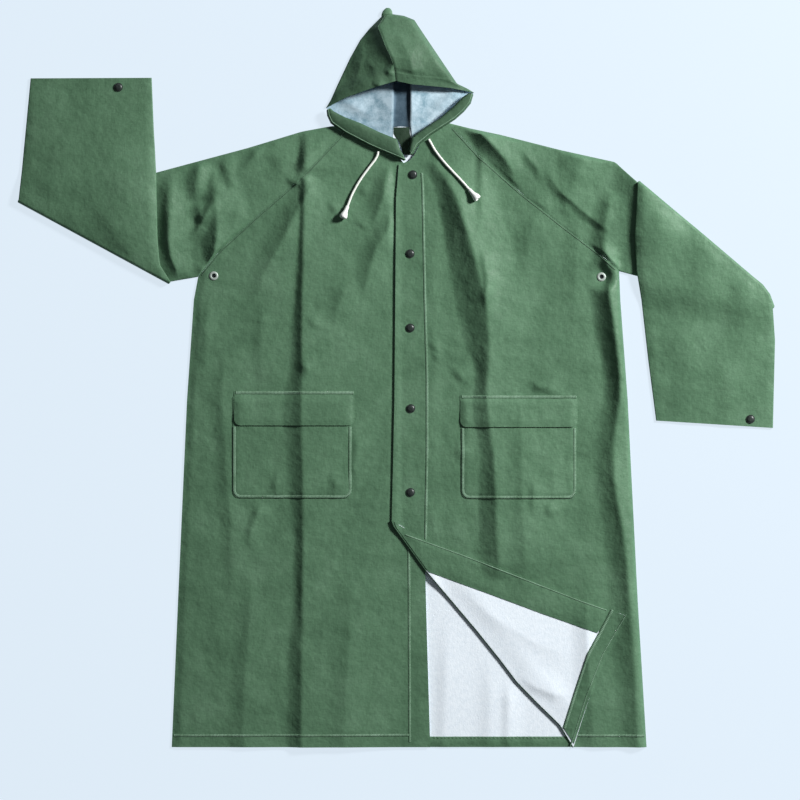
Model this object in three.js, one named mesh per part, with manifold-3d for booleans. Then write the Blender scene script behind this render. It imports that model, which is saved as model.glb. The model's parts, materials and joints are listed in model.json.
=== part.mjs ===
// A long hooded raincoat of coated cloth, laid flat on its back, buttoned, with both
// forearms folded over and the lower corner of one front turned back.
// Millimetres, +Z up. The hood points to +Y, the hem to -Y, and the floor is z = 0.
// "right" and "left" in names are the wearer's sides: right is at -X, left at +X.
import * as THREE from "three";
import { mergeVertices } from "three/addons/utils/BufferGeometryUtils.js";
import Module from "manifold-3d";

const wasm = await Module();
wasm.setup();

// Cloth and seams
const CLOTH = 1.2; // wall of every cloth piece
const GAP = 0.3; // air between two pieces that touch
const LAYER = CLOTH + GAP; // height that one more layer of cloth adds
const FRONT_BASE = 4; // underside of the fronts over the air inside the coat
const EDGE_FLOOR = LAYER; // underside of the fronts where they meet the back at the sides
const EDGE_ROLL = 16; // width over which a front rises from its side edge
const FOLD_HALF = 2.1; // half the height of a flattened sleeve or hood edge
const SEAM_HALF = 0.25; // sideways half gap at the sloping sleeve seams

// Sleeve folds
const ELBOW_CENTRE = 6; // height of the axis that a forearm is folded about
const DROP_WIDTH = 60; // over this width a forearm comes down to the floor beside the arm

// Turned-back corner of the left front
const CORNER_GAP = 5; // air inside the fold, beside the fold line
const CORNER_SETTLE = 70; // over this distance the turned corner comes to lie on the front

// Fastenings and cords
const SNAP_RADIUS = 8.3;
const SNAP_HEIGHT = 3.4;
const EYELET_RADIUS = 8.5;
const EYELET_BORE = 3.9;
const EYELET_BARREL = 5;
const EYELET_HOLE = 5.4;
const CORD_RADIUS = 2.3;
const CORD_SIDES = 8;
const CORD_STEPS = 26;
const CORD_END_LENGTH = 25;
const CORD_END_RADIUS = 7.5;
const CORD_END_NECK = 3.6;

// A table is written as its column names and one short row for each section.
function table(columns, rows) {
  return rows.map((row) => Object.fromEntries(columns.map((name, i) => [name, row[i]])));
}

// Side edges of the body at several heights, from hem to underarm
const BODY_SIDES = table(["y", "right", "left"], [
  [-701, -426, 475],
  [-422, -414, 458],
  [-42, -397, 439],
  [148, -384, 425],
  [198, -376, 423],
]);

// Sleeve seams, from underarm to neck
const SEAM_RIGHT = table(["x", "y"], [
  [-376, 192], [-334, 243], [-255, 315], [-182, 378], [-84, 482],
]);
const SEAM_LEFT = table(["x", "y"], [
  [423, 203], [384, 238], [312, 293], [236, 353], [160, 420], [101, 484],
]);

// Neck seam of the back and hood, from the wearer's right to left
const NECK_BACK = table(["x", "y"], [
  [-84, 482], [-38, 479], [13, 477], [61, 480], [101, 484],
]);

// Neck edges of the two fronts, from the seam to the front edge
const NECK_RIGHT = table(["x", "y"], [[-93, 472], [-40, 446], [4, 420], [15, 408], [53, 395]]);
const NECK_LEFT = table(["x", "y"], [[101, 484], [72, 466], [46, 446], [34, 422], [25, 412], [5, 405]]);

// Front edges, from neck to hem, and the fold of the turned-back corner
const EDGE_RIGHT = table(["x", "y"], [[53, 395], [55, -346], [59, -498], [65, -700]]);
const EDGE_LEFT = table(["x", "y"], [[5, 405], [0, 338], [-3, -42], [-8, -270]]);
const CORNER_FOLD = table(["x", "y"], [
  [-8, -270], [-4, -281], [57, -365], [155, -481], [199, -536], [230, -577], [270, -618],
  [312, -659], [337, -701],
]);
const CORNER_FRONT_EDGE = table(["x", "y"], [
  [-8, -270], [57, -308], [122, -331], [195, -359], [274, -390], [349, -419], [441, -453],
]);
const CORNER_HEM_EDGE = table(["x", "y"], [[441, -453], [398, -526], [368, -602], [337, -701]]);
const FACING_INNER = table(["x", "y"], [[57, -365], [191, -415], [274, -446], [382, -484]]);
const CORNER_HEM_INNER = table(["x", "y"], [
  [407, -440], [383.5, -485], [362, -524], [337, -599], [317, -663],
]);

// Long press creases and folds of the fronts. Each is a soft ridge: x and height along y,
// with a steep side of width "steep" towards -X and an easy side of width "easy".
const CREASES = [
  {
    name: "right press crease", steep: 20, easy: 85,
    path: table(["y", "x", "height"], [
      [400, -172, 0], [340, -174, 3], [243, -177, 5], [53, -177, 6],
      [-118, -178, 7], [-346, -177, 5], [-536, -180, 5], [-701, -184, 6],
    ]),
  },
  {
    name: "left press crease", steep: 28, easy: 95,
    path: table(["y", "x", "height"], [
      [440, 160, 0], [338, 160, 2], [228, 164, 3], [148, 168, 4], [53, 176, 6],
      [-30, 178, 7], [-120, 186, 8], [-232, 187, 8], [-308, 191, 5], [-359, 194, 2], [-420, 198, 0],
    ]),
  },
  {
    name: "fold from the left shoulder", steep: 34, easy: 42,
    path: table(["y", "x", "height"], [
      [440, 66, 0], [405, 84, 4], [357, 112, 7], [310, 127, 8], [262, 141, 9], [215, 156, 9],
      [148, 166, 9], [91, 172, 7], [34, 175, 3], [-13, 176, 0],
    ]),
  },
  {
    name: "left side fold", steep: 26, easy: 26,
    path: table(["y", "x", "height"], [
      [144, 398, 0], [104, 408, 6], [72, 416, 8], [-42, 428, 7], [-120, 424, 5], [-194, 416, 4],
      [-308, 426, 5], [-612, 434, 5], [-701, 440, 4],
    ]),
  },
  {
    name: "fold beside the placket", steep: 30, easy: 60,
    path: table(["y", "x", "height"], [
      [330, -2, 0], [262, -32, 2], [167, -66, 2], [90, -74, 0],
    ]),
  },
];

// Sleeves: the seam, the outline of the elbow fold and of the forearm on both edges.
// "lower" is the underarm edge of the tube and "upper" its shoulder edge.
const SLEEVES = [
  {
    side: "right", seam: SEAM_RIGHT, shift: -SEAM_HALF, outward: [-0.477, -0.879],
    fold: table(["x", "y"], [[-428, 183], [-572, 261], [-716, 339]]),
    underarm: table(["x", "y"], [[-376, 192], [-428, 183]]),
    shoulder: table(["x", "y"], [
      [-84, 482], [-125, 478], [-179, 468], [-281, 437], [-378, 411], [-456, 390], [-716, 339],
    ]),
    foreLower: table(["x", "y"], [
      [-428, 183], [-448, 215], [-452, 262], [-455, 390], [-460, 471], [-464, 570],
    ]),
    foreUpper: table(["x", "y"], [[-716, 339], [-694, 569]]),
    dropFrom: { x: -456, y: 390 }, dropTo: { x: -716, y: 339 },
    fullness: { x: -470, y: 300, acrossReach: 110, alongReach: 120, rise: 0.4 },
  },
  {
    side: "left", seam: SEAM_LEFT, shift: SEAM_HALF, outward: [0.675, 0.738],
    fold: table(["x", "y"], [[715, 131], [702, 166], [686, 178], [572, 275], [457, 370]]),
    underarm: table(["x", "y"], [[423, 203], [456, 194], [715, 131]]),
    shoulder: table(["x", "y"], [
      [101, 484], [141, 474], [198, 462], [312, 433], [416, 410], [457, 370],
    ]),
    foreLower: table(["x", "y"], [[715, 131], [720, 72], [716, -95]]),
    foreUpper: table(["x", "y"], [
      [457, 370], [452, 272], [456, 205], [466, 148], [479, 34], [494, -81],
    ]),
    dropFrom: { x: 715, y: 131 }, dropTo: { x: 456, y: 194 },
    fullness: { x: 462, y: 345, acrossReach: 110, alongReach: 170, rise: 0.9 },
  },
];
const ARM_STATIONS = [0, 0.1, 0.24, 0.4, 0.56, 0.72, 0.88, 1];
const BEND_ANGLES = [30, 60, 90, 120, 150];
const FORE_STATIONS = [0, 0.06, 0.16, 0.3, 0.46, 0.64, 0.82, 1];
const ACROSS_SLEEVE = [0.09, 0.22, 0.36, 0.5, 0.64, 0.78, 0.91];
const ARM_SWELL = 2; // rise of the upper arm's top layer between its edges
const FORE_SWELL = 2;

// Hood halves: outline from the corner of the face opening to the crown, and the seams
const HOOD_HALVES = [
  {
    side: "right", seamShift: -0.7, curve: 1.1,
    outline: table(["x", "y"], [
      [-133, 513], [-124, 528], [-112, 555], [-87, 608], [-68, 642], [-51, 663], [-28, 686],
    ]),
    neck: table(["x", "y"], [[-133, 513], [-88, 487], [-38, 480], [8, 478]]),
    rim: table(["x", "y"], [[-133, 513], [-97, 531], [-46, 548], [0, 562]]),
  },
  {
    side: "left", seamShift: 0.2, curve: 2.2,
    outline: table(["x", "y"], [
      [148, 542], [135, 550], [116, 559], [42, 669], [35, 680], [15, 688], [-6, 691],
    ]),
    neck: table(["x", "y"], [[148, 542], [104, 491], [61, 481], [8, 478]]),
    rim: table(["x", "y"], [[148, 542], [103, 550], [30, 556], [0, 562]]),
  },
];
const CROWN_SEAM = table(["x", "y", "height"], [
  [0, 562, 36], [-2, 585, 36], [-10, 608, 33], [-19, 642, 27], [-24, 672, 16], [-20, 688, 7],
]);
const LOWER_SEAM = table(["x", "y"], [[8, 478], [2, 580], [-20, 688]]);
const HOOD_ROWS = [0, 0.12, 0.26, 0.42, 0.58, 0.74, 0.88, 1];
const ACROSS_HOOD = [0.16, 0.36, 0.58, 0.8, 1];

// Bands that hem the cheeks of the hood and carry the cords. "base" is the height of the
// underside along the outer edge, which lies on the front of that side.
const BAND_LIFT = 4; // more height along its inner edge, towards the face
const BAND_WALL = 2;
const BANDS = [
  {
    side: "right",
    base: 5.6,
    outer: table(["x", "y"], [
      [-132, 508], [-131, 498], [-124, 483], [-97, 464], [-49, 439], [15, 412],
    ]),
    inner: table(["x", "y"], [
      [19, 414], [8, 433], [2, 453], [-30, 466], [-68, 484], [-97, 495], [-118, 506], [-125, 512],
    ]),
  },
  {
    side: "left",
    base: 7.1,
    outer: table(["x", "y"], [
      [147, 538], [142, 521], [129, 505], [112, 490], [65, 460], [42, 441], [32, 424],
    ]),
    inner: table(["x", "y"], [
      [25, 430], [29, 456], [46, 469], [84, 494], [106, 513], [125, 532], [137, 540],
    ]),
  },
];

// Pockets and flaps: corners of each, bottom corners rounded
const POCKET_CORNER = 12;
const POCKETS = [
  {
    side: "right",
    pocket: { xMin: -310, xMax: -84, top: -36, bottom: -228 },
    flap: { xMin: -307, xMax: -78, top: -25, bottom: -90 },
  },
  {
    side: "left",
    pocket: { xMin: 124, xMax: 342, top: -41, bottom: -229 },
    flap: { xMin: 122, xMax: 345, top: -33, bottom: -93 },
  },
];

// Snaps down the front, cuff snaps and eyelets
const FRONT_SNAPS = table(["x", "y"], [[32, 386], [27, 236], [27, 95], [28, -58], [27.5, -217]]);
const CUFF_SNAPS = table(["side", "x", "y"], [["right", -527, 552], ["left", 673, -78]]);
const EYELETS = table(["side", "x", "y"], [["right", -346, 194], ["left", 390, 192]]);

// Cords of the hood, from the band to the end piece
const CORDS = [
  {
    side: "right",
    route: table(["x", "y"], [
      [-34, 430], [-35, 424], [-40, 414], [-50, 401], [-68, 376], [-83, 349], [-92, 326],
    ]),
  },
  {
    side: "left",
    route: table(["x", "y"], [
      [62, 453], [66, 446], [74, 432], [89, 412], [106, 393], [124, 374], [139, 357],
    ]),
  },
];

// Finishes
const FINISH = {
  coated: { color: 0x4d6b52, roughness: 0.55, metalness: 0 },
  lining: { color: 0xdfe8ec, roughness: 0.9, metalness: 0 },
  snap: { color: 0x14181a, roughness: 0.3, metalness: 0.6 },
  eyelet: { color: 0x9a9d98, roughness: 0.35, metalness: 0.9 },
  cord: { color: 0xe9ece8, roughness: 0.85, metalness: 0 },
  plastic: { color: 0xf2f4f2, roughness: 0.4, metalness: 0 },
};

const coat = new THREE.Group();

function add(name, geometry, finish) {
  const mesh = new THREE.Mesh(geometry, new THREE.MeshStandardMaterial(FINISH[finish]));
  mesh.name = name;
  coat.add(mesh);
  return mesh;
}

// Curves and blends in plan

function smooth(t) {
  const s = Math.min(Math.max(t, 0), 1);
  return s * s * (3 - 2 * s);
}

function mix(a, b, t) {
  return a + (b - a) * t;
}

// Value of one column of a table at a place of another column that rises or falls steadily
function lookUp(rows, key, place, column) {
  const rising = rows[rows.length - 1][key] > rows[0][key];
  const ordered = rising ? rows : [...rows].reverse();
  const last = ordered.length - 1;
  if (place <= ordered[0][key]) return ordered[0][column];
  if (place >= ordered[last][key]) return ordered[last][column];
  const i = ordered.findIndex((row) => row[key] > place);
  const before = ordered[i - 1];
  const after = ordered[i];
  const t = (place - before[key]) / (after[key] - before[key]);
  return mix(before[column], after[column], t);
}

// Point at a share of the length of a path of table rows, with any further columns
function along(path, share) {
  const lengths = [0];
  for (let i = 1; i < path.length; i += 1) {
    const step = Math.hypot(path[i].x - path[i - 1].x, path[i].y - path[i - 1].y);
    lengths.push(lengths[i - 1] + step);
  }
  const target = share * lengths[lengths.length - 1];
  let i = lengths.findIndex((length) => length >= target - 1e-9);
  if (i < 1) i = 1;
  const t = (target - lengths[i - 1]) / (lengths[i] - lengths[i - 1]);
  const point = {};
  for (const key of Object.keys(path[0])) point[key] = mix(path[i - 1][key], path[i][key], t);
  return point;
}

// Shortest distance in plan from a point to a path
function distanceTo(path, x, y) {
  let best = Infinity;
  for (let i = 1; i < path.length; i += 1) {
    const a = path[i - 1];
    const b = path[i];
    const dx = b.x - a.x;
    const dy = b.y - a.y;
    const t = Math.min(Math.max(((x - a.x) * dx + (y - a.y) * dy) / (dx * dx + dy * dy), 0), 1);
    best = Math.min(best, Math.hypot(x - a.x - t * dx, y - a.y - t * dy));
  }
  return best;
}

function shifted(path, dx, dy) {
  return path.map((point) => ({ ...point, x: point.x + dx, y: point.y + dy }));
}

// Heights of the fronts

function creaseHeight(x, y) {
  let height = 0;
  for (const crease of CREASES) {
    const dx = x - lookUp(crease.path, "y", y, "x");
    const reach = dx < 0 ? crease.steep : crease.easy;
    const share = Math.abs(dx) / reach;
    if (share < 1) height += lookUp(crease.path, "y", y, "height") * smooth(1 - share);
  }
  return height;
}

// Underside of the front on the wearer's right
function frontRightUnder(x, y) {
  const edge = x - lookUp(BODY_SIDES, "y", y, "right");
  return mix(EDGE_FLOOR, FRONT_BASE + creaseHeight(x, y), smooth(edge / EDGE_ROLL));
}

// Underside of the front on the wearer's left, which laps over the other one
const LAP_INNER = 68;
const LAP_OUTER = 92;
function frontLeftUnder(x, y) {
  const edge = lookUp(BODY_SIDES, "y", y, "left") - x;
  const lap = LAYER * (1 - smooth((x - LAP_INNER) / (LAP_OUTER - LAP_INNER)));
  const calm = smooth(distanceTo(CORNER_FOLD, x, y) / CORNER_SETTLE);
  const free = FRONT_BASE + lap + creaseHeight(x, y) * calm;
  return mix(EDGE_FLOOR, free, smooth(edge / EDGE_ROLL));
}

// Underside of the turned-back corner, which lies on the left front
function cornerUnder(x, y) {
  const air = CORNER_GAP * (1 - smooth(distanceTo(CORNER_FOLD, x, y) / CORNER_SETTLE));
  return frontLeftUnder(x, y) + LAYER + air;
}

// Solids

// Turns a closed triangle list so that its faces point out.
function facingOut(positions, triangles) {
  let volume = 0;
  for (let i = 0; i < triangles.length; i += 3) {
    const [a, b, c] = [0, 1, 2].map((k) => new THREE.Vector3().fromArray(positions, triangles[i + k] * 3));
    volume += a.dot(b.cross(c));
  }
  if (volume > 0) return triangles;
  const turned = [];
  for (let i = 0; i < triangles.length; i += 3) {
    turned.push(triangles[i], triangles[i + 2], triangles[i + 1]);
  }
  return turned;
}

function closedGeometry(positions, triangles) {
  const geometry = new THREE.BufferGeometry();
  geometry.setAttribute("position", new THREE.Float32BufferAttribute(positions, 3));
  geometry.setIndex(facingOut(positions, triangles));
  return geometry;
}

function toSolid(geometry) {
  const bare = geometry.clone();
  bare.deleteAttribute("normal");
  bare.deleteAttribute("uv");
  const merged = mergeVertices(bare, 1e-4);
  const mesh = new wasm.Mesh({
    numProp: 3,
    vertProperties: new Float32Array(merged.attributes.position.array),
    triVerts: new Uint32Array(merged.index.array),
  });
  return new wasm.Manifold(mesh);
}

function toGeometry(solid) {
  const mesh = solid.getMesh();
  const geometry = new THREE.BufferGeometry();
  const count = mesh.vertProperties.length / mesh.numProp;
  const positions = [];
  for (let i = 0; i < count; i += 1) {
    positions.push(...mesh.vertProperties.slice(i * mesh.numProp, i * mesh.numProp + 3));
  }
  geometry.setAttribute("position", new THREE.Float32BufferAttribute(positions, 3));
  geometry.setIndex(Array.from(mesh.triVerts));
  return geometry;
}

// A surface of patches that is given a wall behind it. Points that meet are shared, and
// every free edge is closed from the outer to the inner side.
class Shell {
  constructor() {
    this.points = [];
    this.places = new Map();
    this.triangles = [];
  }

  point(p) {
    const key = [p.x, p.y, p.z].map((value) => Math.round(value * 1000)).join(" ");
    if (!this.places.has(key)) {
      this.places.set(key, this.points.length);
      this.points.push(p.clone());
    }
    return this.places.get(key);
  }

  triangle(a, b, c) {
    if (a !== b && b !== c && c !== a) this.triangles.push([a, b, c]);
  }

  patch(rows) {
    const grid = rows.map((row) => row.map((p) => this.point(p)));
    for (let i = 1; i < grid.length; i += 1) {
      for (let j = 1; j < grid[i].length; j += 1) {
        this.triangle(grid[i - 1][j - 1], grid[i - 1][j], grid[i][j]);
        this.triangle(grid[i - 1][j - 1], grid[i][j], grid[i][j - 1]);
      }
    }
  }

  normalsAndFlux() {
    const centre = new THREE.Vector3();
    for (const p of this.points) centre.addScaledVector(p, 1 / this.points.length);
    const normals = this.points.map(() => new THREE.Vector3());
    let flux = 0;
    for (const [a, b, c] of this.triangles) {
      const ab = this.points[b].clone().sub(this.points[a]);
      const ac = this.points[c].clone().sub(this.points[a]);
      const normal = ab.cross(ac);
      flux += this.points[a].clone().sub(centre).dot(normal);
      for (const k of [a, b, c]) normals[k].add(normal);
    }
    return { normals, flux };
  }

  wall(thickness) {
    if (this.normalsAndFlux().flux < 0) this.triangles = this.triangles.map(([a, b, c]) => [a, c, b]);
    const { normals } = this.normalsAndFlux();
    const count = this.points.length;
    const positions = [];
    for (const p of this.points) positions.push(p.x, p.y, p.z);
    this.points.forEach((p, i) => {
      const inner = p.clone().addScaledVector(normals[i].normalize(), -thickness);
      positions.push(inner.x, inner.y, inner.z);
    });
    const triangles = [];
    const edges = new Set();
    for (const [a, b, c] of this.triangles) {
      triangles.push(a, b, c, a + count, c + count, b + count);
      for (const [from, to] of [[a, b], [b, c], [c, a]]) edges.add(`${from} ${to}`);
    }
    for (const edge of edges) {
      const [from, to] = edge.split(" ").map(Number);
      if (edges.has(`${to} ${from}`)) continue;
      triangles.push(from, from + count, to + count, from, to + count, to);
    }
    return closedGeometry(positions, triangles);
  }
}

// A sheet over a plan grid: columns are functions of y, and under(x, y) gives its underside.
function sheet(columns, rows, under, thickness) {
  const positions = [];
  for (const lift of [0, thickness]) {
    for (const y of rows) {
      for (const column of columns) {
        const x = column(y);
        positions.push(x, y, under(x, y) + lift);
      }
    }
  }
  const across = columns.length;
  const layer = across * rows.length;
  const triangles = [];
  const quad = (a, b, c, d) => triangles.push(a, b, c, a, c, d);
  for (let i = 1; i < rows.length; i += 1) {
    for (let j = 1; j < across; j += 1) {
      const a = (i - 1) * across + j - 1;
      const b = i * across + j - 1;
      quad(a, b, b + 1, a + 1);
      quad(a + layer, a + 1 + layer, b + 1 + layer, b + layer);
    }
  }
  for (let j = 1; j < across; j += 1) {
    const top = (rows.length - 1) * across + j;
    quad(j - 1, j, j + layer, j - 1 + layer);
    quad(top, top - 1, top - 1 + layer, top + layer);
  }
  for (let i = 1; i < rows.length; i += 1) {
    const left = (i - 1) * across;
    const right = left + across - 1;
    quad(left + across, left, left + layer, left + across + layer);
    quad(right, right + across, right + across + layer, right + layer);
  }
  return closedGeometry(positions, triangles);
}

const CUTTER_LOW = -20;
const CUTTER_HEIGHT = 90;
const HOLE_SIDES = 16;

// Upright prism over an outline
function cutter(outline) {
  const shape = new THREE.Shape(outline.map((p) => new THREE.Vector2(p.x, p.y)));
  const geometry = new THREE.ExtrudeGeometry(shape, { depth: CUTTER_HEIGHT, bevelEnabled: false });
  geometry.translate(0, 0, CUTTER_LOW);
  return toSolid(geometry);
}

function drill(hole) {
  const geometry = new THREE.CylinderGeometry(hole.radius, hole.radius, CUTTER_HEIGHT, HOLE_SIDES);
  geometry.rotateX(Math.PI / 2);
  geometry.translate(hole.x, hole.y, 0);
  return toSolid(geometry);
}

// A sheet cut to its outline
function cutSheet(outline, columns, rows, under, thickness, holes = []) {
  let solid = toSolid(sheet(columns, rows, under, thickness)).intersect(cutter(outline));
  for (const hole of holes) solid = solid.subtract(drill(hole));
  return solid;
}

function evenRows(low, high, count) {
  return Array.from({ length: count + 1 }, (_, i) => mix(low, high, i / count));
}

const fixed = (x) => () => x;

// Back panel, flat on the floor

const HEM_Y = -701;
const SHEET_MARGIN = 6; // a sheet's grid reaches this far past its outline before it is cut

const sideRight = BODY_SIDES.map((row) => ({ x: row.right, y: row.y })).slice(0, -1);
const sideLeft = BODY_SIDES.map((row) => ({ x: row.left, y: row.y })).slice(0, -1);

const SEAM_END = 0.992; // the body stops just short of the sleeve's shoulder edge

// A sleeve seam at the places where the sleeve's first ring has its points, so that both
// sides of the seam stay parallel
function seamPoints(seam) {
  return [0, ...ACROSS_SLEEVE, SEAM_END].map((share) => along(seam, share));
}
const seamRightBody = shifted(seamPoints(SEAM_RIGHT), SEAM_HALF, 0);
const seamLeftBody = shifted(seamPoints(SEAM_LEFT), -SEAM_HALF, 0);

function makeBack() {
  const outline = [
    ...sideRight,
    ...seamRightBody,
    ...NECK_BACK.slice(1, -1),
    ...[...seamLeftBody].reverse(),
    ...[...sideLeft].reverse(),
  ];
  const columns = evenRows(-440, 490, 6).map(fixed);
  const rows = evenRows(HEM_Y - SHEET_MARGIN, 500, 8);
  add("back", toGeometry(cutSheet(outline, columns, rows, () => 0, CLOTH)), "coated");
}

// Turned-up hem inside the back, which shows beside the turned corner
const BACK_HEM_WIDTH = 20;
const BACK_HEM_SPAN = { from: 40, to: 345 };

function makeBackHem() {
  const { from, to } = BACK_HEM_SPAN;
  const top = HEM_Y + BACK_HEM_WIDTH;
  const outline = [{ x: from, y: HEM_Y }, { x: to, y: HEM_Y }, { x: to, y: top }, { x: from, y: top }];
  const columns = [fixed(from - SHEET_MARGIN), fixed(to + SHEET_MARGIN)];
  const rows = [HEM_Y - SHEET_MARGIN, top + SHEET_MARGIN];
  add("back_hem", toGeometry(cutSheet(outline, columns, rows, () => LAYER, CLOTH)), "coated");
}

// Fronts

const FRONT_ROWS = evenRows(HEM_Y - SHEET_MARGIN, 496, 24);

function creaseColumns(crease) {
  const middle = (y) => lookUp(crease.path, "y", y, "x");
  return [
    (y) => middle(y) - crease.steep,
    (y) => middle(y) - crease.steep / 2,
    middle,
    (y) => middle(y) + crease.easy / 2,
  ];
}

function rightSideColumn(inset) {
  return (y) => lookUp(BODY_SIDES, "y", y, "right") + inset;
}

function leftSideColumn(inset) {
  return (y) => lookUp(BODY_SIDES, "y", y, "left") - inset;
}

const LAP_COLUMNS = [-20, 8, 36, LAP_INNER, LAP_OUTER].map(fixed);
const RIGHT_COLUMNS = [
  rightSideColumn(-SHEET_MARGIN), rightSideColumn(2), rightSideColumn(9),
  rightSideColumn(EDGE_ROLL), fixed(-308), fixed(-250),
  ...creaseColumns(CREASES[0]),
  fixed(-84), fixed(-50), ...LAP_COLUMNS,
];
const LEFT_COLUMNS = sortedColumns([
  fixed(-48), ...LAP_COLUMNS,
  (y) => lookUp(CREASES[2].path, "y", y, "x") - 8 - 20 * smooth(-y / 100),
  ...creaseColumns(CREASES[1]),
  fixed(262), fixed(310), fixed(343),
  leftSideColumn(48), leftSideColumn(30), leftSideColumn(EDGE_ROLL),
  leftSideColumn(9), leftSideColumn(2), leftSideColumn(-SHEET_MARGIN),
]);

// Columns that may cross are put in order again at every height
function sortedColumns(columns) {
  return columns.map((_, j) => (y) => columns.map((column) => column(y)).sort((a, b) => a - b)[j]);
}

function makeFrontRight() {
  const outline = [
    ...sideRight,
    ...seamRightBody.slice(0, -1),
    ...NECK_RIGHT.slice(0, -1),
    ...EDGE_RIGHT.slice(0, -1),
    { x: EDGE_RIGHT[EDGE_RIGHT.length - 1].x, y: HEM_Y },
  ];
  const eyelet = EYELETS.find((row) => row.side === "right");
  const holes = [{ x: eyelet.x, y: eyelet.y, radius: EYELET_HOLE }];
  const solid = cutSheet(outline, RIGHT_COLUMNS, FRONT_ROWS, frontRightUnder, CLOTH, holes);
  add("front_right", toGeometry(solid), "coated");
}

// The rounded fold that joins the left front to its turned-back corner. Its ends run into
// both sheets, and its wall is a little thinner there.
const FOLD_TUCK = 1.5;
const FOLD_THINNER = 0.2;
const FOLD_TURNS = 6;

function foldStrip() {
  const shares = evenRows(0.012, 0.988, 16);
  const profile = (share) => {
    const p = along(CORNER_FOLD, share);
    const ahead = along(CORNER_FOLD, Math.min(share + 0.02, 1));
    const behind = along(CORNER_FOLD, Math.max(share - 0.02, 0));
    const run = new THREE.Vector2(ahead.x - behind.x, ahead.y - behind.y).normalize();
    const out = new THREE.Vector2(run.y, -run.x).negate();
    if (out.x > 0) out.negate();
    const low = frontLeftUnder(p.x, p.y) + FOLD_THINNER / 2;
    const high = cornerUnder(p.x, p.y) + CLOTH - FOLD_THINNER / 2;
    const radius = (high - low) / 2;
    const loop = [{ out: -FOLD_TUCK, z: low }];
    for (let k = 0; k <= FOLD_TURNS; k += 1) {
      const angle = (Math.PI * k) / FOLD_TURNS;
      loop.push({ out: radius * Math.sin(angle), z: low + radius * (1 - Math.cos(angle)) });
    }
    loop.push({ out: -FOLD_TUCK, z: high });
    return loop.map((q) => new THREE.Vector3(p.x + out.x * q.out, p.y + out.y * q.out, q.z));
  };
  const shell = new Shell();
  shell.patch(shares.map(profile));
  return toSolid(shell.wall(CLOTH - FOLD_THINNER));
}

function makeFrontLeft() {
  const outline = [
    ...[...sideLeft],
    ...seamLeftBody.slice(0, -1),
    ...NECK_LEFT,
    ...EDGE_LEFT.slice(1, -1),
    ...CORNER_FOLD,
  ];
  const eyelet = EYELETS.find((row) => row.side === "left");
  const holes = [{ x: eyelet.x, y: eyelet.y, radius: EYELET_HOLE }];
  const lying = cutSheet(outline, LEFT_COLUMNS, FRONT_ROWS, frontLeftUnder, CLOTH, holes);
  const cornerOutline = [
    ...CORNER_FRONT_EDGE,
    ...CORNER_HEM_EDGE.slice(1),
    ...[...CORNER_FOLD].reverse().slice(1, -1),
  ];
  const turnedOver = cutSheet(cornerOutline, LEFT_COLUMNS, FRONT_ROWS, cornerUnder, CLOTH);
  const joined = lying.add(foldStrip()).add(turnedOver);
  const whole = joined.decompose().sort((a, b) => b.volume() - a.volume())[0];
  add("front_left", toGeometry(whole), "coated");
}

// Facing of the front edge and the hem, on the turned-back corner

function onCorner(name, outline) {
  const under = (x, y) => cornerUnder(x, y) + LAYER;
  add(name, toGeometry(cutSheet(outline, LEFT_COLUMNS, FRONT_ROWS, under, CLOTH)), "coated");
}

function makeCornerBands() {
  const hemStart = CORNER_HEM_INNER[0];
  const facing = [
    { x: 9, y: -286 },
    ...CORNER_FRONT_EDGE.slice(1, -1),
    { x: hemStart.x - 2, y: hemStart.y - 1 },
    ...[...FACING_INNER].reverse().slice(0, -1),
    { x: FACING_INNER[0].x + 6, y: FACING_INNER[0].y - 3 },
  ];
  onCorner("front_facing", facing);
  const hem = [
    hemStart,
    ...CORNER_HEM_EDGE.slice(0, -1),
    { x: 338, y: -694 },
    ...[...CORNER_HEM_INNER].reverse().slice(0, -1),
  ];
  onCorner("corner_hem", hem);
}

// Pockets and their flaps, moved out from the front below them

function roundedBox({ xMin, xMax, top, bottom }) {
  const shape = new THREE.Shape();
  const c = POCKET_CORNER;
  shape.moveTo(xMin, top);
  shape.lineTo(xMin, bottom + c);
  shape.absarc(xMin + c, bottom + c, c, Math.PI, Math.PI * 1.5, false);
  shape.lineTo(xMax - c, bottom);
  shape.absarc(xMax - c, bottom + c, c, Math.PI * 1.5, Math.PI * 2, false);
  shape.lineTo(xMax, top);
  return shape.getPoints(3).map((p) => ({ x: p.x, y: p.y }));
}

function makePockets() {
  const panel = { right: frontRightUnder, left: frontLeftUnder };
  const columns = { right: RIGHT_COLUMNS, left: LEFT_COLUMNS };
  for (const { side, pocket, flap } of POCKETS) {
    for (const [name, box, layers] of [["pocket", pocket, 1], ["pocket_flap", flap, 2]]) {
      const under = (x, y) => panel[side](x, y) + LAYER * layers;
      const solid = cutSheet(roundedBox(box), columns[side], FRONT_ROWS, under, CLOTH);
      add(`${name}_${side}`, toGeometry(solid), "coated");
    }
  }
}

// Sleeves: one flattened tube each, from the sleeve seam over the elbow fold to the cuff.
// A ring runs from the underarm edge to the shoulder edge along the floor side and back.

function ringProfile(width, topAt) {
  const e = FOLD_HALF;
  const near = 0.3 * e;
  const places = [e, ...ACROSS_SLEEVE.map((share) => share * width), width - e];
  const loop = [{ at: 0, z: e, tip: true }, { at: near, z: near }];
  for (const at of places) loop.push({ at, z: 0 });
  loop.push({ at: width - near, z: near }, { at: width, z: e, tip: true });
  loop.push({ at: width - near, z: 2 * e - near });
  for (const at of [...places].reverse()) loop.push({ at, z: 2 * e + topAt(at / width) });
  loop.push({ at: near, z: 2 * e - near });
  return loop;
}

const swellShape = (share) => Math.sin(Math.PI * Math.min(Math.max(share, 0), 1)) ** 0.7;

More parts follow.
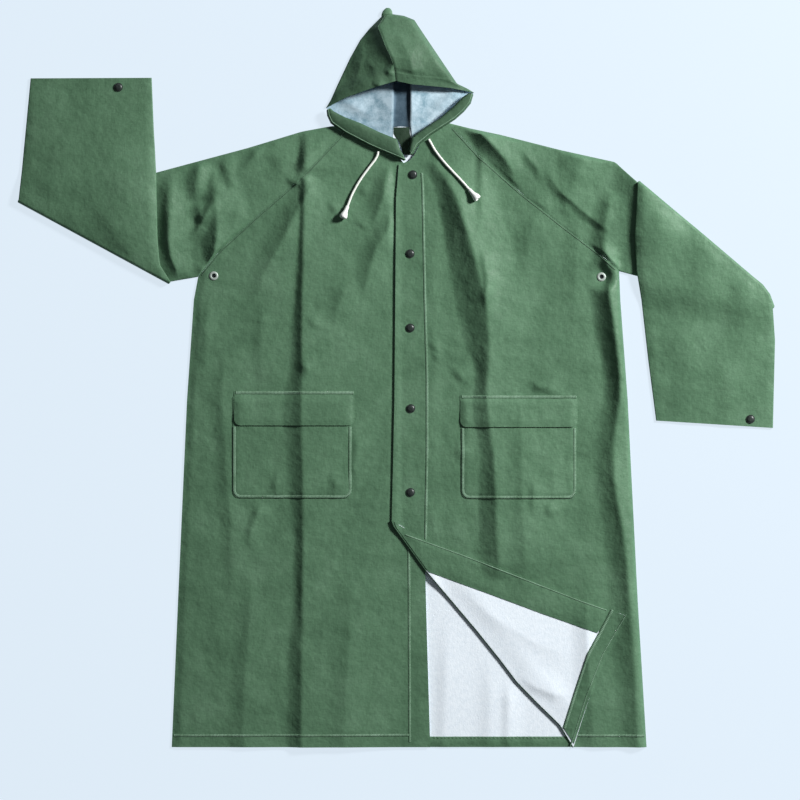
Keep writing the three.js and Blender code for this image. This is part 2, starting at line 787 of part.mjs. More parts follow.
function makeSleeve(sleeve) {
  const rings = [];
  const seam = shifted(sleeve.seam, sleeve.shift, 0);
  const [outX, outY] = sleeve.outward;
  const frontUnder = sleeve.side === "right" ? frontRightUnder : frontLeftUnder;
  const dropRun = {
    x: sleeve.dropTo.x - sleeve.dropFrom.x,
    y: sleeve.dropTo.y - sleeve.dropFrom.y,
  };
  const dropLength = Math.hypot(dropRun.x, dropRun.y);
  const beyond = (x, y) => {
    const cross = (qx, qy) => dropRun.x * (qy - sleeve.dropFrom.y) - dropRun.y * (qx - sleeve.dropFrom.x);
    const inside = Math.sign(cross(along(sleeve.seam, 0.5).x, along(sleeve.seam, 0.5).y));
    return (-inside * cross(x, y)) / dropLength;
  };
  // Upper arm, from the seam to the elbow
  for (const station of ARM_STATIONS) {
    const low = along(sleeve.underarm, station);
    const high = along(sleeve.shoulder, station);
    const seamEnd = [along(seam, 0), along(seam, 1)];
    const foldEnd = [along(sleeve.fold, 0), along(sleeve.fold, 1)];
    const place = (share) => {
      const a = along(seam, share);
      const b = along(sleeve.fold, share);
      const start = {
        x: mix(a.x, b.x, station) - mix(mix(seamEnd[0].x, seamEnd[1].x, share), mix(foldEnd[0].x, foldEnd[1].x, share), station),
        y: mix(a.y, b.y, station) - mix(mix(seamEnd[0].y, seamEnd[1].y, share), mix(foldEnd[0].y, foldEnd[1].y, share), station),
      };
      const lowX = station === 0 ? seamEnd[0].x : low.x;
      const highX = station === 0 ? seamEnd[1].x : high.x;
      return { x: mix(lowX, highX, share) + start.x, y: mix(low.y, high.y, share) + start.y };
    };
    const width = Math.hypot(high.x - low.x, high.y - low.y);
    const topAt = (share) => {
      const p = place(share);
      const seamTop = frontUnder(p.x, p.y) + CLOTH - 2 * FOLD_HALF;
      const swell = ARM_SWELL * swellShape(share) * Math.sin(Math.PI * station) ** 0.6;
      return Math.max(mix(Math.max(seamTop, 0), 0, smooth(station * 3)), 0) * swellShape(share) ** 0.3 + swell;
    };
    rings.push(ringProfile(width, topAt).map((q) => {
      const p = place(q.at / width);
      return new THREE.Vector3(p.x, p.y, q.z);
    }));
  }
  // Elbow fold
  const foldWidth = Math.hypot(
    along(sleeve.fold, 1).x - along(sleeve.fold, 0).x,
    along(sleeve.fold, 1).y - along(sleeve.fold, 0).y,
  );
  for (const degrees of BEND_ANGLES) {
    const angle = THREE.MathUtils.degToRad(degrees);
    rings.push(ringProfile(foldWidth, () => 0).map((q) => {
      const p = along(sleeve.fold, q.at / foldWidth);
      const radius = ELBOW_CENTRE - q.z;
      return new THREE.Vector3(
        p.x + outX * radius * Math.sin(angle),
        p.y + outY * radius * Math.sin(angle),
        ELBOW_CENTRE - radius * Math.cos(angle),
      );
    }));
  }
  // Forearm, upside down on the upper arm and then down on the floor beside it
  for (const station of FORE_STATIONS) {
    const low = along(sleeve.foreLower, station);
    const high = along(sleeve.foreUpper, station);
    const width = Math.hypot(high.x - low.x, high.y - low.y);
    const foldShare = (share) => {
      const b = along(sleeve.fold, share);
      const ends = [along(sleeve.fold, 0), along(sleeve.fold, 1)];
      return { x: b.x - mix(ends[0].x, ends[1].x, share), y: b.y - mix(ends[0].y, ends[1].y, share) };
    };
    const ring = ringProfile(width, () => 0).map((q) => {
      const share = q.at / width;
      const bend = foldShare(share);
      const fade = (1 - station) ** 2;
      const x = mix(low.x, high.x, share) + bend.x * fade;
      const y = mix(low.y, high.y, share) + bend.y * fade;
      const base = 2 * ELBOW_CENTRE - 2 * FOLD_HALF;
      const drop = base * smooth(beyond(x, y) / DROP_WIDTH);
      const swell = q.z === 0 ? FORE_SWELL * swellShape(share) * Math.sin(Math.PI * Math.min(station * 1.1, 1)) ** 0.7 : 0;
      return new THREE.Vector3(x, y, 2 * ELBOW_CENTRE - q.z - drop + Math.max(swell, 0));
    });
    rings.push(ring);
  }
  // The folded cloth is fuller near the inner corner of the elbow.
  for (const point of rings.flat()) {
    const { x, y, acrossReach, alongReach, rise } = sleeve.fullness;
    const away = Math.hypot((point.x - x) / acrossReach, (point.y - y) / alongReach);
    point.z *= 1 + rise * smooth(1 - away);
  }
  const shell = new Shell();
  shell.patch(rings.map((ring) => [...ring, ring[0]]));
  add(`sleeve_${sleeve.side}`, shell.wall(CLOTH), "coated");
}

// Hood halves: the crown over the floor side, joined along the rounded outline

function makeHoodHalf(half) {
  const rows = HOOD_ROWS.map((share) => {
    const edge = along(half.outline, share);
    const crown = along(CROWN_SEAM, share);
    const nape = along(LOWER_SEAM, share);
    const seam = half.seamShift;
    const row = [];
    const e = FOLD_HALF;
    const near = 0.3 * e;
    const fade = (1 - share) ** 3;
    const place = (end, border, u) => {
      const straight = { x: mix(edge.x, end.x + seam, u), y: mix(edge.y, end.y, u) };
      const start = along(half.outline, 0);
      const first = border[border.length - 1];
      const bend = along(border, u);
      return {
        x: straight.x + (bend.x - mix(start.x, first.x, u)) * fade,
        y: straight.y + (bend.y - mix(start.y, first.y, u)) * fade,
      };
    };
    const width = Math.hypot(crown.x - edge.x, crown.y - edge.y);
    const upper = (u, z) => {
      const p = place(crown, half.rim, u);
      return new THREE.Vector3(p.x, p.y, z);
    };
    const lower = (u, z) => {
      const p = place(nape, half.neck, u);
      return new THREE.Vector3(p.x, p.y, z);
    };
    for (const u of [...ACROSS_HOOD].reverse()) {
      row.push(upper(u, 2 * e + crown.height * (1 - (1 - u) ** half.curve)));
    }
    row.push(upper(e / width, 2 * e), upper(near / width, 2 * e - near));
    row.push(upper(0, e));
    row.push(lower(near / width, near), lower(e / width, 0));
    for (const u of ACROSS_HOOD) row.push(lower(u, 0));
    return row;
  });
  const shell = new Shell();
  shell.patch(rows);
  add(`hood_${half.side}`, shell.wall(CLOTH), "coated");
}

// Rolled end of the hood's centre seam, at the top of the crown
const TIP_RINGS = table(["x", "y", "half", "height"], [
  [-17, 691.5, 11, 7], [-17, 697, 10, 8], [-16, 702, 6, 6],
]);

function makeHoodTip() {
  const shell = new Shell();
  const sides = 10;
  shell.patch(TIP_RINGS.map((row) => Array.from({ length: sides + 1 }, (_, k) => {
    const angle = (2 * Math.PI * (k % sides)) / sides;
    const flat = Math.max(Math.sin(angle), -0.8);
    return new THREE.Vector3(
      row.x + row.half * Math.cos(angle), row.y, (row.height / 2) * (flat / 0.9 + 0.8 / 0.9),
    );
  })));
  add("hood_tip", shell.wall(CLOTH), "coated");
}

// Hem bands of the hood's cheeks

function makeBands() {
  for (const { side, base, outer, inner } of BANDS) {
    const outline = [...outer, ...inner];
    const under = (x, y) => {
      const fromOuter = distanceTo(outer, x, y);
      const fromInner = distanceTo(inner, x, y);
      return base + BAND_LIFT * (fromOuter / (fromOuter + fromInner + 1e-6));
    };
    const xs = outline.map((p) => p.x);
    const ys = outline.map((p) => p.y);
    const columns = evenRows(Math.min(...xs) - SHEET_MARGIN, Math.max(...xs) + SHEET_MARGIN, 9).map(fixed);
    const rows = evenRows(Math.min(...ys) - SHEET_MARGIN, Math.max(...ys) + SHEET_MARGIN, 8);
    add(`hood_band_${side}`, toGeometry(cutSheet(outline, columns, rows, under, BAND_WALL)), "coated");
  }
}

// Narrow coated strip inside the neck, over the seam of back and hood
const NECK_STRIP = table(["x", "y"], [
  [-4, 474], [25, 474], [27, 462], [34, 424], [13, 424], [8, 443], [-4, 464],
]);

function makeNeckStrip() {
  const columns = [fixed(-12), fixed(42)];
  const rows = [416, 482];
  add("neck_strip", toGeometry(cutSheet(NECK_STRIP, columns, rows, () => LAYER, CLOTH)), "coated");
}

// Snaps, eyelets and cords

function turned(profile, segments) {
  const points = profile.map((row) => new THREE.Vector2(row.radius, row.height));
  const geometry = new THREE.LatheGeometry(points, segments);
  geometry.rotateX(Math.PI / 2);
  return mergeClean(geometry);
}

function mergeClean(geometry) {
  geometry.deleteAttribute("normal");
  geometry.deleteAttribute("uv");
  const merged = mergeVertices(geometry, 1e-3);
  const index = [];
  const source = merged.index.array;
  for (let i = 0; i < source.length; i += 3) {
    const [a, b, c] = [source[i], source[i + 1], source[i + 2]];
    if (a !== b && b !== c && c !== a) index.push(a, b, c);
  }
  merged.setIndex(facingOut(Array.from(merged.attributes.position.array), index));
  return merged;
}

function snapCap() {
  return turned(table(["radius", "height"], [
    [0, 0], [SNAP_RADIUS, 0], [SNAP_RADIUS, 0.9], [SNAP_RADIUS * 0.82, SNAP_HEIGHT * 0.72],
    [SNAP_RADIUS * 0.45, SNAP_HEIGHT], [0, SNAP_HEIGHT],
  ]), 14);
}

const CUFF_SNAP_RISE = 0.3; // swell of the forearm beside the cuff, where a snap sits

function makeSnaps() {
  FRONT_SNAPS.forEach((row, i) => {
    const z = frontLeftUnder(row.x, row.y) + CLOTH + GAP;
    add(`snap_${i + 1}`, snapCap(), "snap").position.set(row.x, row.y, z);
  });
  for (const row of CUFF_SNAPS) {
    const z = 2 * FOLD_HALF + CUFF_SNAP_RISE + GAP;
    add(`cuff_snap_${row.side}`, snapCap(), "snap").position.set(row.x, row.y, z);
  }
}

function makeEyelets() {
  for (const row of EYELETS) {
    const under = row.side === "right" ? frontRightUnder : frontLeftUnder;
    const ring = turned(table(["radius", "height"], [
      [EYELET_BORE, -1.7], [EYELET_BARREL, -1.7], [EYELET_BARREL, GAP], [EYELET_RADIUS, GAP],
      [EYELET_RADIUS - 0.4, 1.1], [EYELET_BARREL + 1.4, 1.8], [EYELET_BARREL - 0.4, 1.5],
      [EYELET_BORE, 0.8], [EYELET_BORE, -1.7],
    ]), 16);
    add(`eyelet_${row.side}`, ring, "eyelet").position.set(row.x, row.y, under(row.x, row.y) + CLOTH);
  }
}

function frontTop(side, x, y) {
  return (side === "right" ? frontRightUnder : frontLeftUnder)(x, y) + CLOTH;
}

const CORD_RISE = 12; // over this length a cord climbs to the neck of its end piece
const CORD_CLEAR = 0.7; // a cord's middle line rests this much above its own radius

// Height of the highest cloth under an end piece
function restUnder(side, x, y, run) {
  let high = 0;
  for (const share of [0, 0.25, 0.5, 0.75, 1]) {
    for (const across of [-1, 0, 1]) {
      const px = x + (run.x * share - run.y * across * 0.3) * CORD_END_LENGTH;
      const py = y + (run.y * share + run.x * across * 0.3) * CORD_END_LENGTH;
      high = Math.max(high, frontTop(side, px, py));
    }
  }
  return high;
}

function makeCords() {
  for (const { side, route } of CORDS) {
    const end = route[route.length - 1];
    const before = route[route.length - 2];
    const run = new THREE.Vector2(end.x - before.x, end.y - before.y).normalize();
    const points = route.map((p) => {
      const near = 1 - smooth(Math.hypot(p.x - end.x, p.y - end.y) / (3 * CORD_RISE));
      const lift = (CORD_END_NECK - CORD_RADIUS + 0.4) * near;
      return new THREE.Vector3(p.x, p.y, frontTop(side, p.x, p.y) + CORD_CLEAR + CORD_RADIUS + lift);
    });
    const path = new THREE.CatmullRomCurve3(points, false, "centripetal");
    const section = new THREE.Shape(Array.from({ length: CORD_SIDES }, (_, k) => {
      const angle = (2 * Math.PI * k) / CORD_SIDES;
      return new THREE.Vector2(CORD_RADIUS * Math.cos(angle), CORD_RADIUS * Math.sin(angle));
    }));
    const tube = new THREE.ExtrudeGeometry(section, { steps: CORD_STEPS, extrudePath: path });
    add(`drawcord_${side}`, mergeClean(tube), "cord");

    // The end piece is a small bell that lies on its flank.
    const bell = new THREE.LatheGeometry([
      new THREE.Vector2(0, 0), new THREE.Vector2(CORD_END_NECK, 0),
      new THREE.Vector2(CORD_END_NECK + 0.4, CORD_END_LENGTH * 0.35),
      new THREE.Vector2(CORD_END_RADIUS - 0.6, CORD_END_LENGTH * 0.75),
      new THREE.Vector2(CORD_END_RADIUS, CORD_END_LENGTH),
      new THREE.Vector2(CORD_END_RADIUS - 2, CORD_END_LENGTH),
      new THREE.Vector2(CORD_END_NECK, CORD_END_LENGTH * 0.6),
      new THREE.Vector2(0, CORD_END_LENGTH * 0.55),
    ], 12);
    const tilt = Math.asin((CORD_END_RADIUS - CORD_END_NECK) / CORD_END_LENGTH);
    bell.rotateZ(-Math.PI / 2);
    bell.rotateY(-tilt);
    bell.rotateZ(Math.atan2(run.y, run.x));
    const last = points[points.length - 1];
    const rest = restUnder(side, last.x, last.y, run) + GAP + CORD_END_NECK;
    bell.translate(last.x + run.x * GAP * 2, last.y + run.y * GAP * 2, Math.max(rest, last.z));
    add(`cord_end_${side}`, mergeClean(bell), "plastic");
  }
}

makeBack();
makeBackHem();
makeFrontRight();
makeFrontLeft();
makeCornerBands();
makePockets();
SLEEVES.forEach(makeSleeve);
HOOD_HALVES.forEach(makeHoodHalf);
makeHoodTip();
makeBands();
makeNeckStrip();
makeSnaps();
makeEyelets();
makeCords();

// The origin is under the middle of the coat: the middle of the box round all but the cords
const box = new THREE.Box3();
for (const mesh of coat.children) {
  if (!/cord/.test(mesh.name)) box.union(new THREE.Box3().setFromObject(mesh));
}
const middle = box.getCenter(new THREE.Vector3());
coat.position.set(-middle.x, -middle.y, -box.min.z);

export default coat;
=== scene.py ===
# %% [markdown]
# # A long hooded raincoat, laid flat
#
# The coat lies on its back with its front snapped shut. Both forearms are folded over the
# upper arms, and the lower corner of one front is turned back, so that the white side shows.
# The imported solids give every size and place. Here each panel becomes thin cloth with a
# coated green side and a white knitted side, and gets its creases, seams and fastenings.

# %% Load the solids that fix every size and place
import json
import math

import bpy
import numpy as np
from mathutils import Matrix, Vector, geometry

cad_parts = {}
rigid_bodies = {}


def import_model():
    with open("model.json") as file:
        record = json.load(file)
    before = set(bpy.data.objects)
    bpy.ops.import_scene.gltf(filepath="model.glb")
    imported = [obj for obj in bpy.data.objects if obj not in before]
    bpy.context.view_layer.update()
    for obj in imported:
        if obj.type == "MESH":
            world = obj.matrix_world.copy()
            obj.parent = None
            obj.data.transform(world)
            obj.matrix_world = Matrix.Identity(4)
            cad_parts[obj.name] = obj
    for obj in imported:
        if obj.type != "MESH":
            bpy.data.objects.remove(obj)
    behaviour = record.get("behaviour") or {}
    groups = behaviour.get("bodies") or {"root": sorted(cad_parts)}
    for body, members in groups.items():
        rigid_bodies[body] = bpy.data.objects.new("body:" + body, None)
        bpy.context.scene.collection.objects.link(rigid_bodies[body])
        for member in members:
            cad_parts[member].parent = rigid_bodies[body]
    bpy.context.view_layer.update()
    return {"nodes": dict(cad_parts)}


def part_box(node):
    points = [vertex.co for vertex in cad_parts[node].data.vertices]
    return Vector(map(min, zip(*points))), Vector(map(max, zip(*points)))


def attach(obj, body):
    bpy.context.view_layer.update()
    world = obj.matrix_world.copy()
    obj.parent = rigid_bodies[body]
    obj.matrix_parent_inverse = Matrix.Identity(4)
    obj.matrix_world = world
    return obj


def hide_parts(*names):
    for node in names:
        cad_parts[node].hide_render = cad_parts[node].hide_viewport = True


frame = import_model()
print("solids:", len(frame["nodes"]))

# %% [markdown]
# ## One drawing plane for the whole coat
#
# A coat that lies flat is drawn like a sewing pattern: every piece has an outline in plan, in
# millimetres, and a height over the floor. The drawing's origin is close to that of the
# solids. The small shift between them is read from one snap, whose place in the drawing is
# known, so that nothing has to be fitted by eye.

# %% Units and the shift from drawing to frame
MM = 0.001
FIRST_SNAP = (32.0, 386.0)


def place_of(node):
    """Middle of a solid in plan, its underside and its top, in millimetres of the frame."""
    low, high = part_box(node)
    return (low.x + high.x) / 2 / MM, (low.y + high.y) / 2 / MM, low.z / MM, high.z / MM


snap_x, snap_y, _, _ = place_of("snap_1")
SHIFT_X = snap_x - FIRST_SNAP[0]
SHIFT_Y = snap_y - FIRST_SNAP[1]
print(f"shift {SHIFT_X:.2f} mm, {SHIFT_Y:.2f} mm")


def to_frame(points):
    """Drawing millimetres to frame metres."""
    moved = np.array(points, float)
    moved[:, 0] += SHIFT_X
    moved[:, 1] += SHIFT_Y
    return moved * MM


# %% [markdown]
# ## Camera
#
# The photograph looks straight down. A long lens far above the coat keeps its edges from
# leaning outwards. One pixel of the picture covers 1.9 mm of cloth, and the middle of the
# picture lies a little off the middle of the coat.

# %% Camera straight above
PICTURE_PIXELS = 800
PIXEL = 1.9
COAT_CENTRE_PIXEL = (396.0, 378.0)
CAMERA_HEIGHT = 7.0
SENSOR = 36.0

picture_width = PICTURE_PIXELS * PIXEL * MM
camera_data = bpy.data.cameras.new("camera")
camera_data.sensor_width = SENSOR
camera_data.lens = SENSOR * CAMERA_HEIGHT / picture_width
camera = bpy.data.objects.new("camera", camera_data)
centre_x = (PICTURE_PIXELS / 2 - COAT_CENTRE_PIXEL[0]) * PIXEL + SHIFT_X
centre_y = (COAT_CENTRE_PIXEL[1] - PICTURE_PIXELS / 2) * PIXEL + SHIFT_Y
camera.location = (centre_x * MM, centre_y * MM, CAMERA_HEIGHT)
bpy.context.collection.objects.link(camera)
bpy.context.scene.camera = camera
print(f"lens {camera_data.lens:.0f} mm")

# %% [markdown]
# ## Floor and light
#
# The coat lies on a plain pale blue ground. One round lamp stands low at the upper right, so
# that every crease has a light side and a dark side. The sky fills the shadows a little. The
# ground has its brightness mostly from its own glow, so the coat's shadow on it stays faint.

# %% Floor, lamp and sky
FLOOR_COLOR = (0.765, 0.873, 0.974, 1.0)
FLOOR_GLOW = 0.875
FLOOR_DIFFUSE = 0.12
FLOOR_HALF = 6.0
KEY_AZIMUTH = 30.0
KEY_ELEVATION = 30.0
KEY_DISTANCE = 5.0
KEY_SIZE = 1.0
KEY_POWER = 448.0
SKY_COLOR = (0.86, 0.93, 1.0, 1.0)
SKY_STRENGTH = 0.11

floor_mesh = bpy.data.meshes.new("floor")
sides = [(-1, -1), (1, -1), (1, 1), (-1, 1)]
floor_corners = [(x * FLOOR_HALF, y * FLOOR_HALF, 0.0) for x, y in sides]
floor_mesh.from_pydata(floor_corners, [], [(0, 1, 2, 3)])
floor = bpy.data.objects.new("floor", floor_mesh)
bpy.context.collection.objects.link(floor)

floor_material = bpy.data.materials.new("pale ground")
floor_material.use_nodes = True
floor_shader = floor_material.node_tree.nodes["Principled BSDF"]
floor_paint = [c * FLOOR_DIFFUSE for c in FLOOR_COLOR[:3]]
floor_shader.inputs["Base Color"].default_value = (*floor_paint, 1.0)
floor_shader.inputs["Roughness"].default_value = 1.0
floor_shader.inputs["Specular IOR Level"].default_value = 0.0
floor_shader.inputs["Emission Color"].default_value = FLOOR_COLOR
floor_shader.inputs["Emission Strength"].default_value = FLOOR_GLOW
floor_mesh.materials.append(floor_material)

key_data = bpy.data.lights.new("key lamp", "AREA")
key_data.shape = "DISK"
key_data.size = KEY_SIZE
key_data.energy = KEY_POWER
key = bpy.data.objects.new("key lamp", key_data)
azimuth = math.radians(KEY_AZIMUTH)
elevation = math.radians(KEY_ELEVATION)
key.location = (
    KEY_DISTANCE * math.cos(elevation) * math.cos(azimuth),
    KEY_DISTANCE * math.cos(elevation) * math.sin(azimuth),
    KEY_DISTANCE * math.sin(elevation),
)
key.rotation_euler = (-Vector(key.location)).to_track_quat("-Z", "Y").to_euler()
bpy.context.collection.objects.link(key)

world = bpy.data.worlds.new("sky")
world.use_nodes = True
background = world.node_tree.nodes["Background"]
background.inputs["Color"].default_value = SKY_COLOR
background.inputs["Strength"].default_value = SKY_STRENGTH
bpy.context.scene.world = world
bpy.context.scene.view_settings.view_transform = "Standard"
print("lamp at", [round(c, 2) for c in key.location])

# %% [markdown]
# ## Materials
#
# The cloth is a woven polyester with a green vinyl coat outside and a white knitted pile
# inside. The coat follows the weave, so the green side has a very fine canvas grain, small
# soft dents from being packed, and a colour that is not quite even. Procedural layers on
# Object coordinates give this: a cloudy colour, a grain in tone and height, and dents of two
# sizes. Dents finer than a hand's breadth stay in the material, and creases are in the mesh.

# %% Helpers for node materials
def new_material(name, color, roughness, metallic=0.0, specular=0.5):
    """A Principled material with its flat values set on the shader itself."""
    material = bpy.data.materials.new(name)
    material.use_nodes = True
    shader = material.node_tree.nodes["Principled BSDF"]
    shader.inputs["Base Color"].default_value = (*color, 1.0)
    shader.inputs["Roughness"].default_value = roughness
    shader.inputs["Metallic"].default_value = metallic
    shader.inputs["Specular IOR Level"].default_value = specular
    return material, material.node_tree, shader


def noise_node(tree, coordinates, scale, detail=3.0, roughness=0.5):
    node = tree.nodes.new("ShaderNodeTexNoise")
    node.inputs["Scale"].default_value = scale
    node.inputs["Detail"].default_value = detail
    node.inputs["Roughness"].default_value = roughness
    tree.links.new(coordinates, node.inputs["Vector"])
    return node.outputs["Fac"]


def ramp_node(tree, factor, stops):
    """A colour ramp from (place, colour) stops."""
    node = tree.nodes.new("ShaderNodeValToRGB")
    ramp = node.color_ramp
    while len(ramp.elements) < len(stops):
        ramp.elements.new(0.5)
    for element, (place, color) in zip(ramp.elements, stops):
        element.position = place
        element.color = (*color, 1.0)
    tree.links.new(factor, node.inputs["Fac"])
    return node.outputs["Color"]


def bump_node(tree, height, distance, strength, before=None):
    node = tree.nodes.new("ShaderNodeBump")
    node.inputs["Distance"].default_value = distance
    node.inputs["Strength"].default_value = strength
    tree.links.new(height, node.inputs["Height"])
    if before is not None:
        tree.links.new(before, node.inputs["Normal"])
    return node.outputs["Normal"]


def object_coordinates(tree):
    return tree.nodes.new("ShaderNodeTexCoord").outputs["Object"]


def thread_noise(tree, coordinates, spots_x, spots_y):
    """Noise whose spots are long one way, as threads are, from the spots in a metre each way."""
    scaled = tree.nodes.new("ShaderNodeVectorMath")
    scaled.operation = "MULTIPLY"
    scaled.inputs[1].default_value = (spots_x, spots_y, max(spots_x, spots_y))
    tree.links.new(coordinates, scaled.inputs[0])
    return noise_node(tree, scaled.outputs[0], 1.0, roughness=0.6)


def blend_node(tree, kind, factor, first, second):
    """Colours first and second, blended in the given way."""
    node = tree.nodes.new("ShaderNodeMix")
    node.data_type = "RGBA"
    node.blend_type = kind
    node.inputs[0].default_value = factor
    tree.links.new(first, node.inputs[6])
    tree.links.new(second, node.inputs[7])
    return node.outputs[2]


# %% Green coated side
GREEN_DEEP = (0.066, 0.142, 0.080)
GREEN_MID = (0.086, 0.178, 0.102)
GREEN_PALE = (0.110, 0.212, 0.128)
GREEN_STOPS = [(0.32, GREEN_DEEP), (0.50, GREEN_MID), (0.68, GREEN_PALE)]
# The bands, the hood and the neck tape are the same cloth as the rest, made darker as painted shade
BAND_PAINTED_SHADE = 0.66
HOOD_PAINTED_SHADE = 0.74
TAPE_PAINTED_SHADE = 0.26
# Spots and threads in a metre, and heights in metres
CLOUDS = 9.0
THREADS = 380.0
THREAD_RUN = 110.0
GLOSS_SPOTS = 38.0
SMALL_DENTS = 62.0
LARGE_DENTS = 20.0
THREAD_HEIGHT = 0.0008
SMALL_DENT_HEIGHT = 0.0028
LARGE_DENT_HEIGHT = 0.0075
WEAVE_TONES = [(0.36, (0.89,) * 3), (0.64, (1.11,) * 3)]
ROUGHNESS_TONES = [(0.3, (0.50,) * 3), (0.7, (0.66,) * 3)]


def green_cloth(name, shade=1.0):
    """The coated side. A shade under one makes it darker, as painted shade on the bands, the hood and
    the neck tape.
    """
    material, tree, shader = new_material(name, GREEN_MID, 0.58, specular=0.22)
    coordinates = object_coordinates(tree)
    cloudy = noise_node(tree, coordinates, CLOUDS, detail=9.0, roughness=0.72)
    shaded = [(place, tuple(c * shade for c in color)) for place, color in GREEN_STOPS]
    weft = thread_noise(tree, coordinates, THREADS, THREAD_RUN)
    warp = thread_noise(tree, coordinates, THREAD_RUN, THREADS)
    weave = blend_node(tree, "MIX", 0.5, weft, warp)
    weave_tone = ramp_node(tree, weave, WEAVE_TONES)
    color = blend_node(tree, "MULTIPLY", 1.0, ramp_node(tree, cloudy, shaded), weave_tone)
    tree.links.new(color, shader.inputs["Base Color"])
    gloss = noise_node(tree, coordinates, GLOSS_SPOTS, detail=4.0)
    tree.links.new(ramp_node(tree, gloss, ROUGHNESS_TONES), shader.inputs["Roughness"])
    grain = bump_node(tree, weave, THREAD_HEIGHT, 0.35)
    small = noise_node(tree, coordinates, SMALL_DENTS, detail=5.0)
    dented = bump_node(tree, small, SMALL_DENT_HEIGHT, 0.5, grain)
    large = noise_node(tree, coordinates, LARGE_DENTS, detail=4.0)
    wavy = bump_node(tree, large, LARGE_DENT_HEIGHT, 0.45, dented)
    tree.links.new(wavy, shader.inputs["Normal"])
    return material


coated = green_cloth("green coated cloth")
# Darker copies of the same cloth, with painted shade, for the bands, the hood and the neck tape
coated_band_painted_shade = green_cloth("green coated band with painted shade", BAND_PAINTED_SHADE)
coated_hood_painted_shade = green_cloth("green coated hood with painted shade", HOOD_PAINTED_SHADE)
coated_tape_painted_shade = green_cloth("green coated tape with painted shade", TAPE_PAINTED_SHADE)

# %% [markdown]
# The white side is a knitted backing: it is matt and fluffy, with tiny loops in rows. At the
# turned corner it is bright. In the hood it is painted grey as shade, its large mottle is partly
# the knit's own tone and partly painted shade, and the deep strip between the hood's two sides
# is painted almost dark as shade, from left to right, by its own material.

# %% White knitted side
WHITE = (0.84, 0.91, 0.97)
WHITE_SHADE = (0.76, 0.84, 0.91)
# The hood's lining is the same white backing, painted grey as shade. Its dark patches are partly the
# knit's own uneven tone and partly painted shade
HOOD_LINING_PAINTED_GREY = (0.55, 0.70, 0.78)
HOOD_LINING_PAINTED_PATCHES = (0.20, 0.33, 0.40)
# Loops and spots in a metre, and heights in metres
LOOPS = 330.0
LOOP_RUN = 150.0
SMALL_SPOTS = 120.0
LARGE_SPOTS = 30.0
FLUFF = 420.0
LOOP_HEIGHT = 0.0006
FLUFF_HEIGHT = 0.0005
CLOTH_SHEEN = 0.3
# Painted shade across the deep strip: places in metres, each with its tone, and the blue of the dark
# tones
STRIP_SHADES = [
    (-0.009, 0.82), (-0.004, 0.20), (0.014, 0.15), (0.021, 0.10), (0.025, 0.04), (0.030, 0.94),
]
STRIP_SPAN = 0.1
STRIP_TINT = (1.15, 1.0, 0.9)


def strip_shade(tree, coordinates):
    """The shade of the deep strip between the two sides of the hood, from left to right."""
    split = tree.nodes.new("ShaderNodeSeparateXYZ")
    tree.links.new(coordinates, split.inputs[0])
    place = tree.nodes.new("ShaderNodeMapRange")
    place.inputs["From Min"].default_value = -STRIP_SPAN / 2
    place.inputs["From Max"].default_value = STRIP_SPAN / 2
    tree.links.new(split.outputs["X"], place.inputs["Value"])
    stops = [(x / STRIP_SPAN + 0.5, tuple(tone**c for c in STRIP_TINT)) for x, tone in STRIP_SHADES]
    return ramp_node(tree, place.outputs["Result"], stops)


def knitted_backing(name, color, shade, spots=SMALL_SPOTS, strip=False):
    material, tree, shader = new_material(name, color, 0.95, specular=0.15)
    coordinates = object_coordinates(tree)
    mottle_and_painted_shade = noise_node(tree, coordinates, spots, detail=6.0, roughness=0.7)
    tone = ramp_node(tree, mottle_and_painted_shade, [(0.35, shade), (0.6, color)])
    # The deep strip in the hood is painted dark as shade
    if strip:
        tone = blend_node(tree, "MULTIPLY", 1.0, tone, strip_shade(tree, coordinates))
    tree.links.new(tone, shader.inputs["Base Color"])
    rows = thread_noise(tree, coordinates, LOOPS, LOOP_RUN)
    loops = bump_node(tree, rows, LOOP_HEIGHT, 0.5)
    fluff = bump_node(tree, noise_node(tree, coordinates, FLUFF), FLUFF_HEIGHT, 0.4, loops)
    tree.links.new(fluff, shader.inputs["Normal"])
    shader.inputs["Sheen Weight"].default_value = CLOTH_SHEEN
    return material


white_side = knitted_backing("white knitted backing", WHITE, WHITE_SHADE)
hood_lining_painted_shade = knitted_backing(
    "white knitted backing in the hood, painted grey as shade", HOOD_LINING_PAINTED_GREY, HOOD_LINING_PAINTED_PATCHES, spots=LARGE_SPOTS, strip=True,
)

# %% [markdown]
# Snaps are steel with a black enamel, eyelets are matt metal, and the bells of the cords are
# moulded plastic. Each has one finish with faint specks. The eyelet's finish is partly its own
# matt grey and partly a paleness that stands for reflection of a bright room, as painted
# reflection, and the inside of its hole gets the black snap finish as painted shade. The welded
# rows are paler than the cloth, because the heat has pressed the coat flat, and the seam rows
# are darker.

# %% Hard pieces, welded rows and cords
SPECK_HEIGHT = 0.0002
FIBRES = 900.0
FIBRE_HEIGHT = 0.0004


def speckled(name, color, other, roughness, metallic, scale):
    """A hard finish with faint specks of another tone, scale of them in a metre."""
    material, tree, shader = new_material(name, color, roughness, metallic)
    coordinates = object_coordinates(tree)
    spots = noise_node(tree, coordinates, scale, detail=4.0)
    tree.links.new(ramp_node(tree, spots, [(0.35, color), (0.7, other)]), shader.inputs["Base Color"])
    tree.links.new(bump_node(tree, spots, SPECK_HEIGHT, 0.25), shader.inputs["Normal"])
    return material


snap_metal = speckled(
    "black enamelled snap", (0.020, 0.027, 0.025), (0.045, 0.055, 0.052), 0.36, 0.2, 300.0,
)
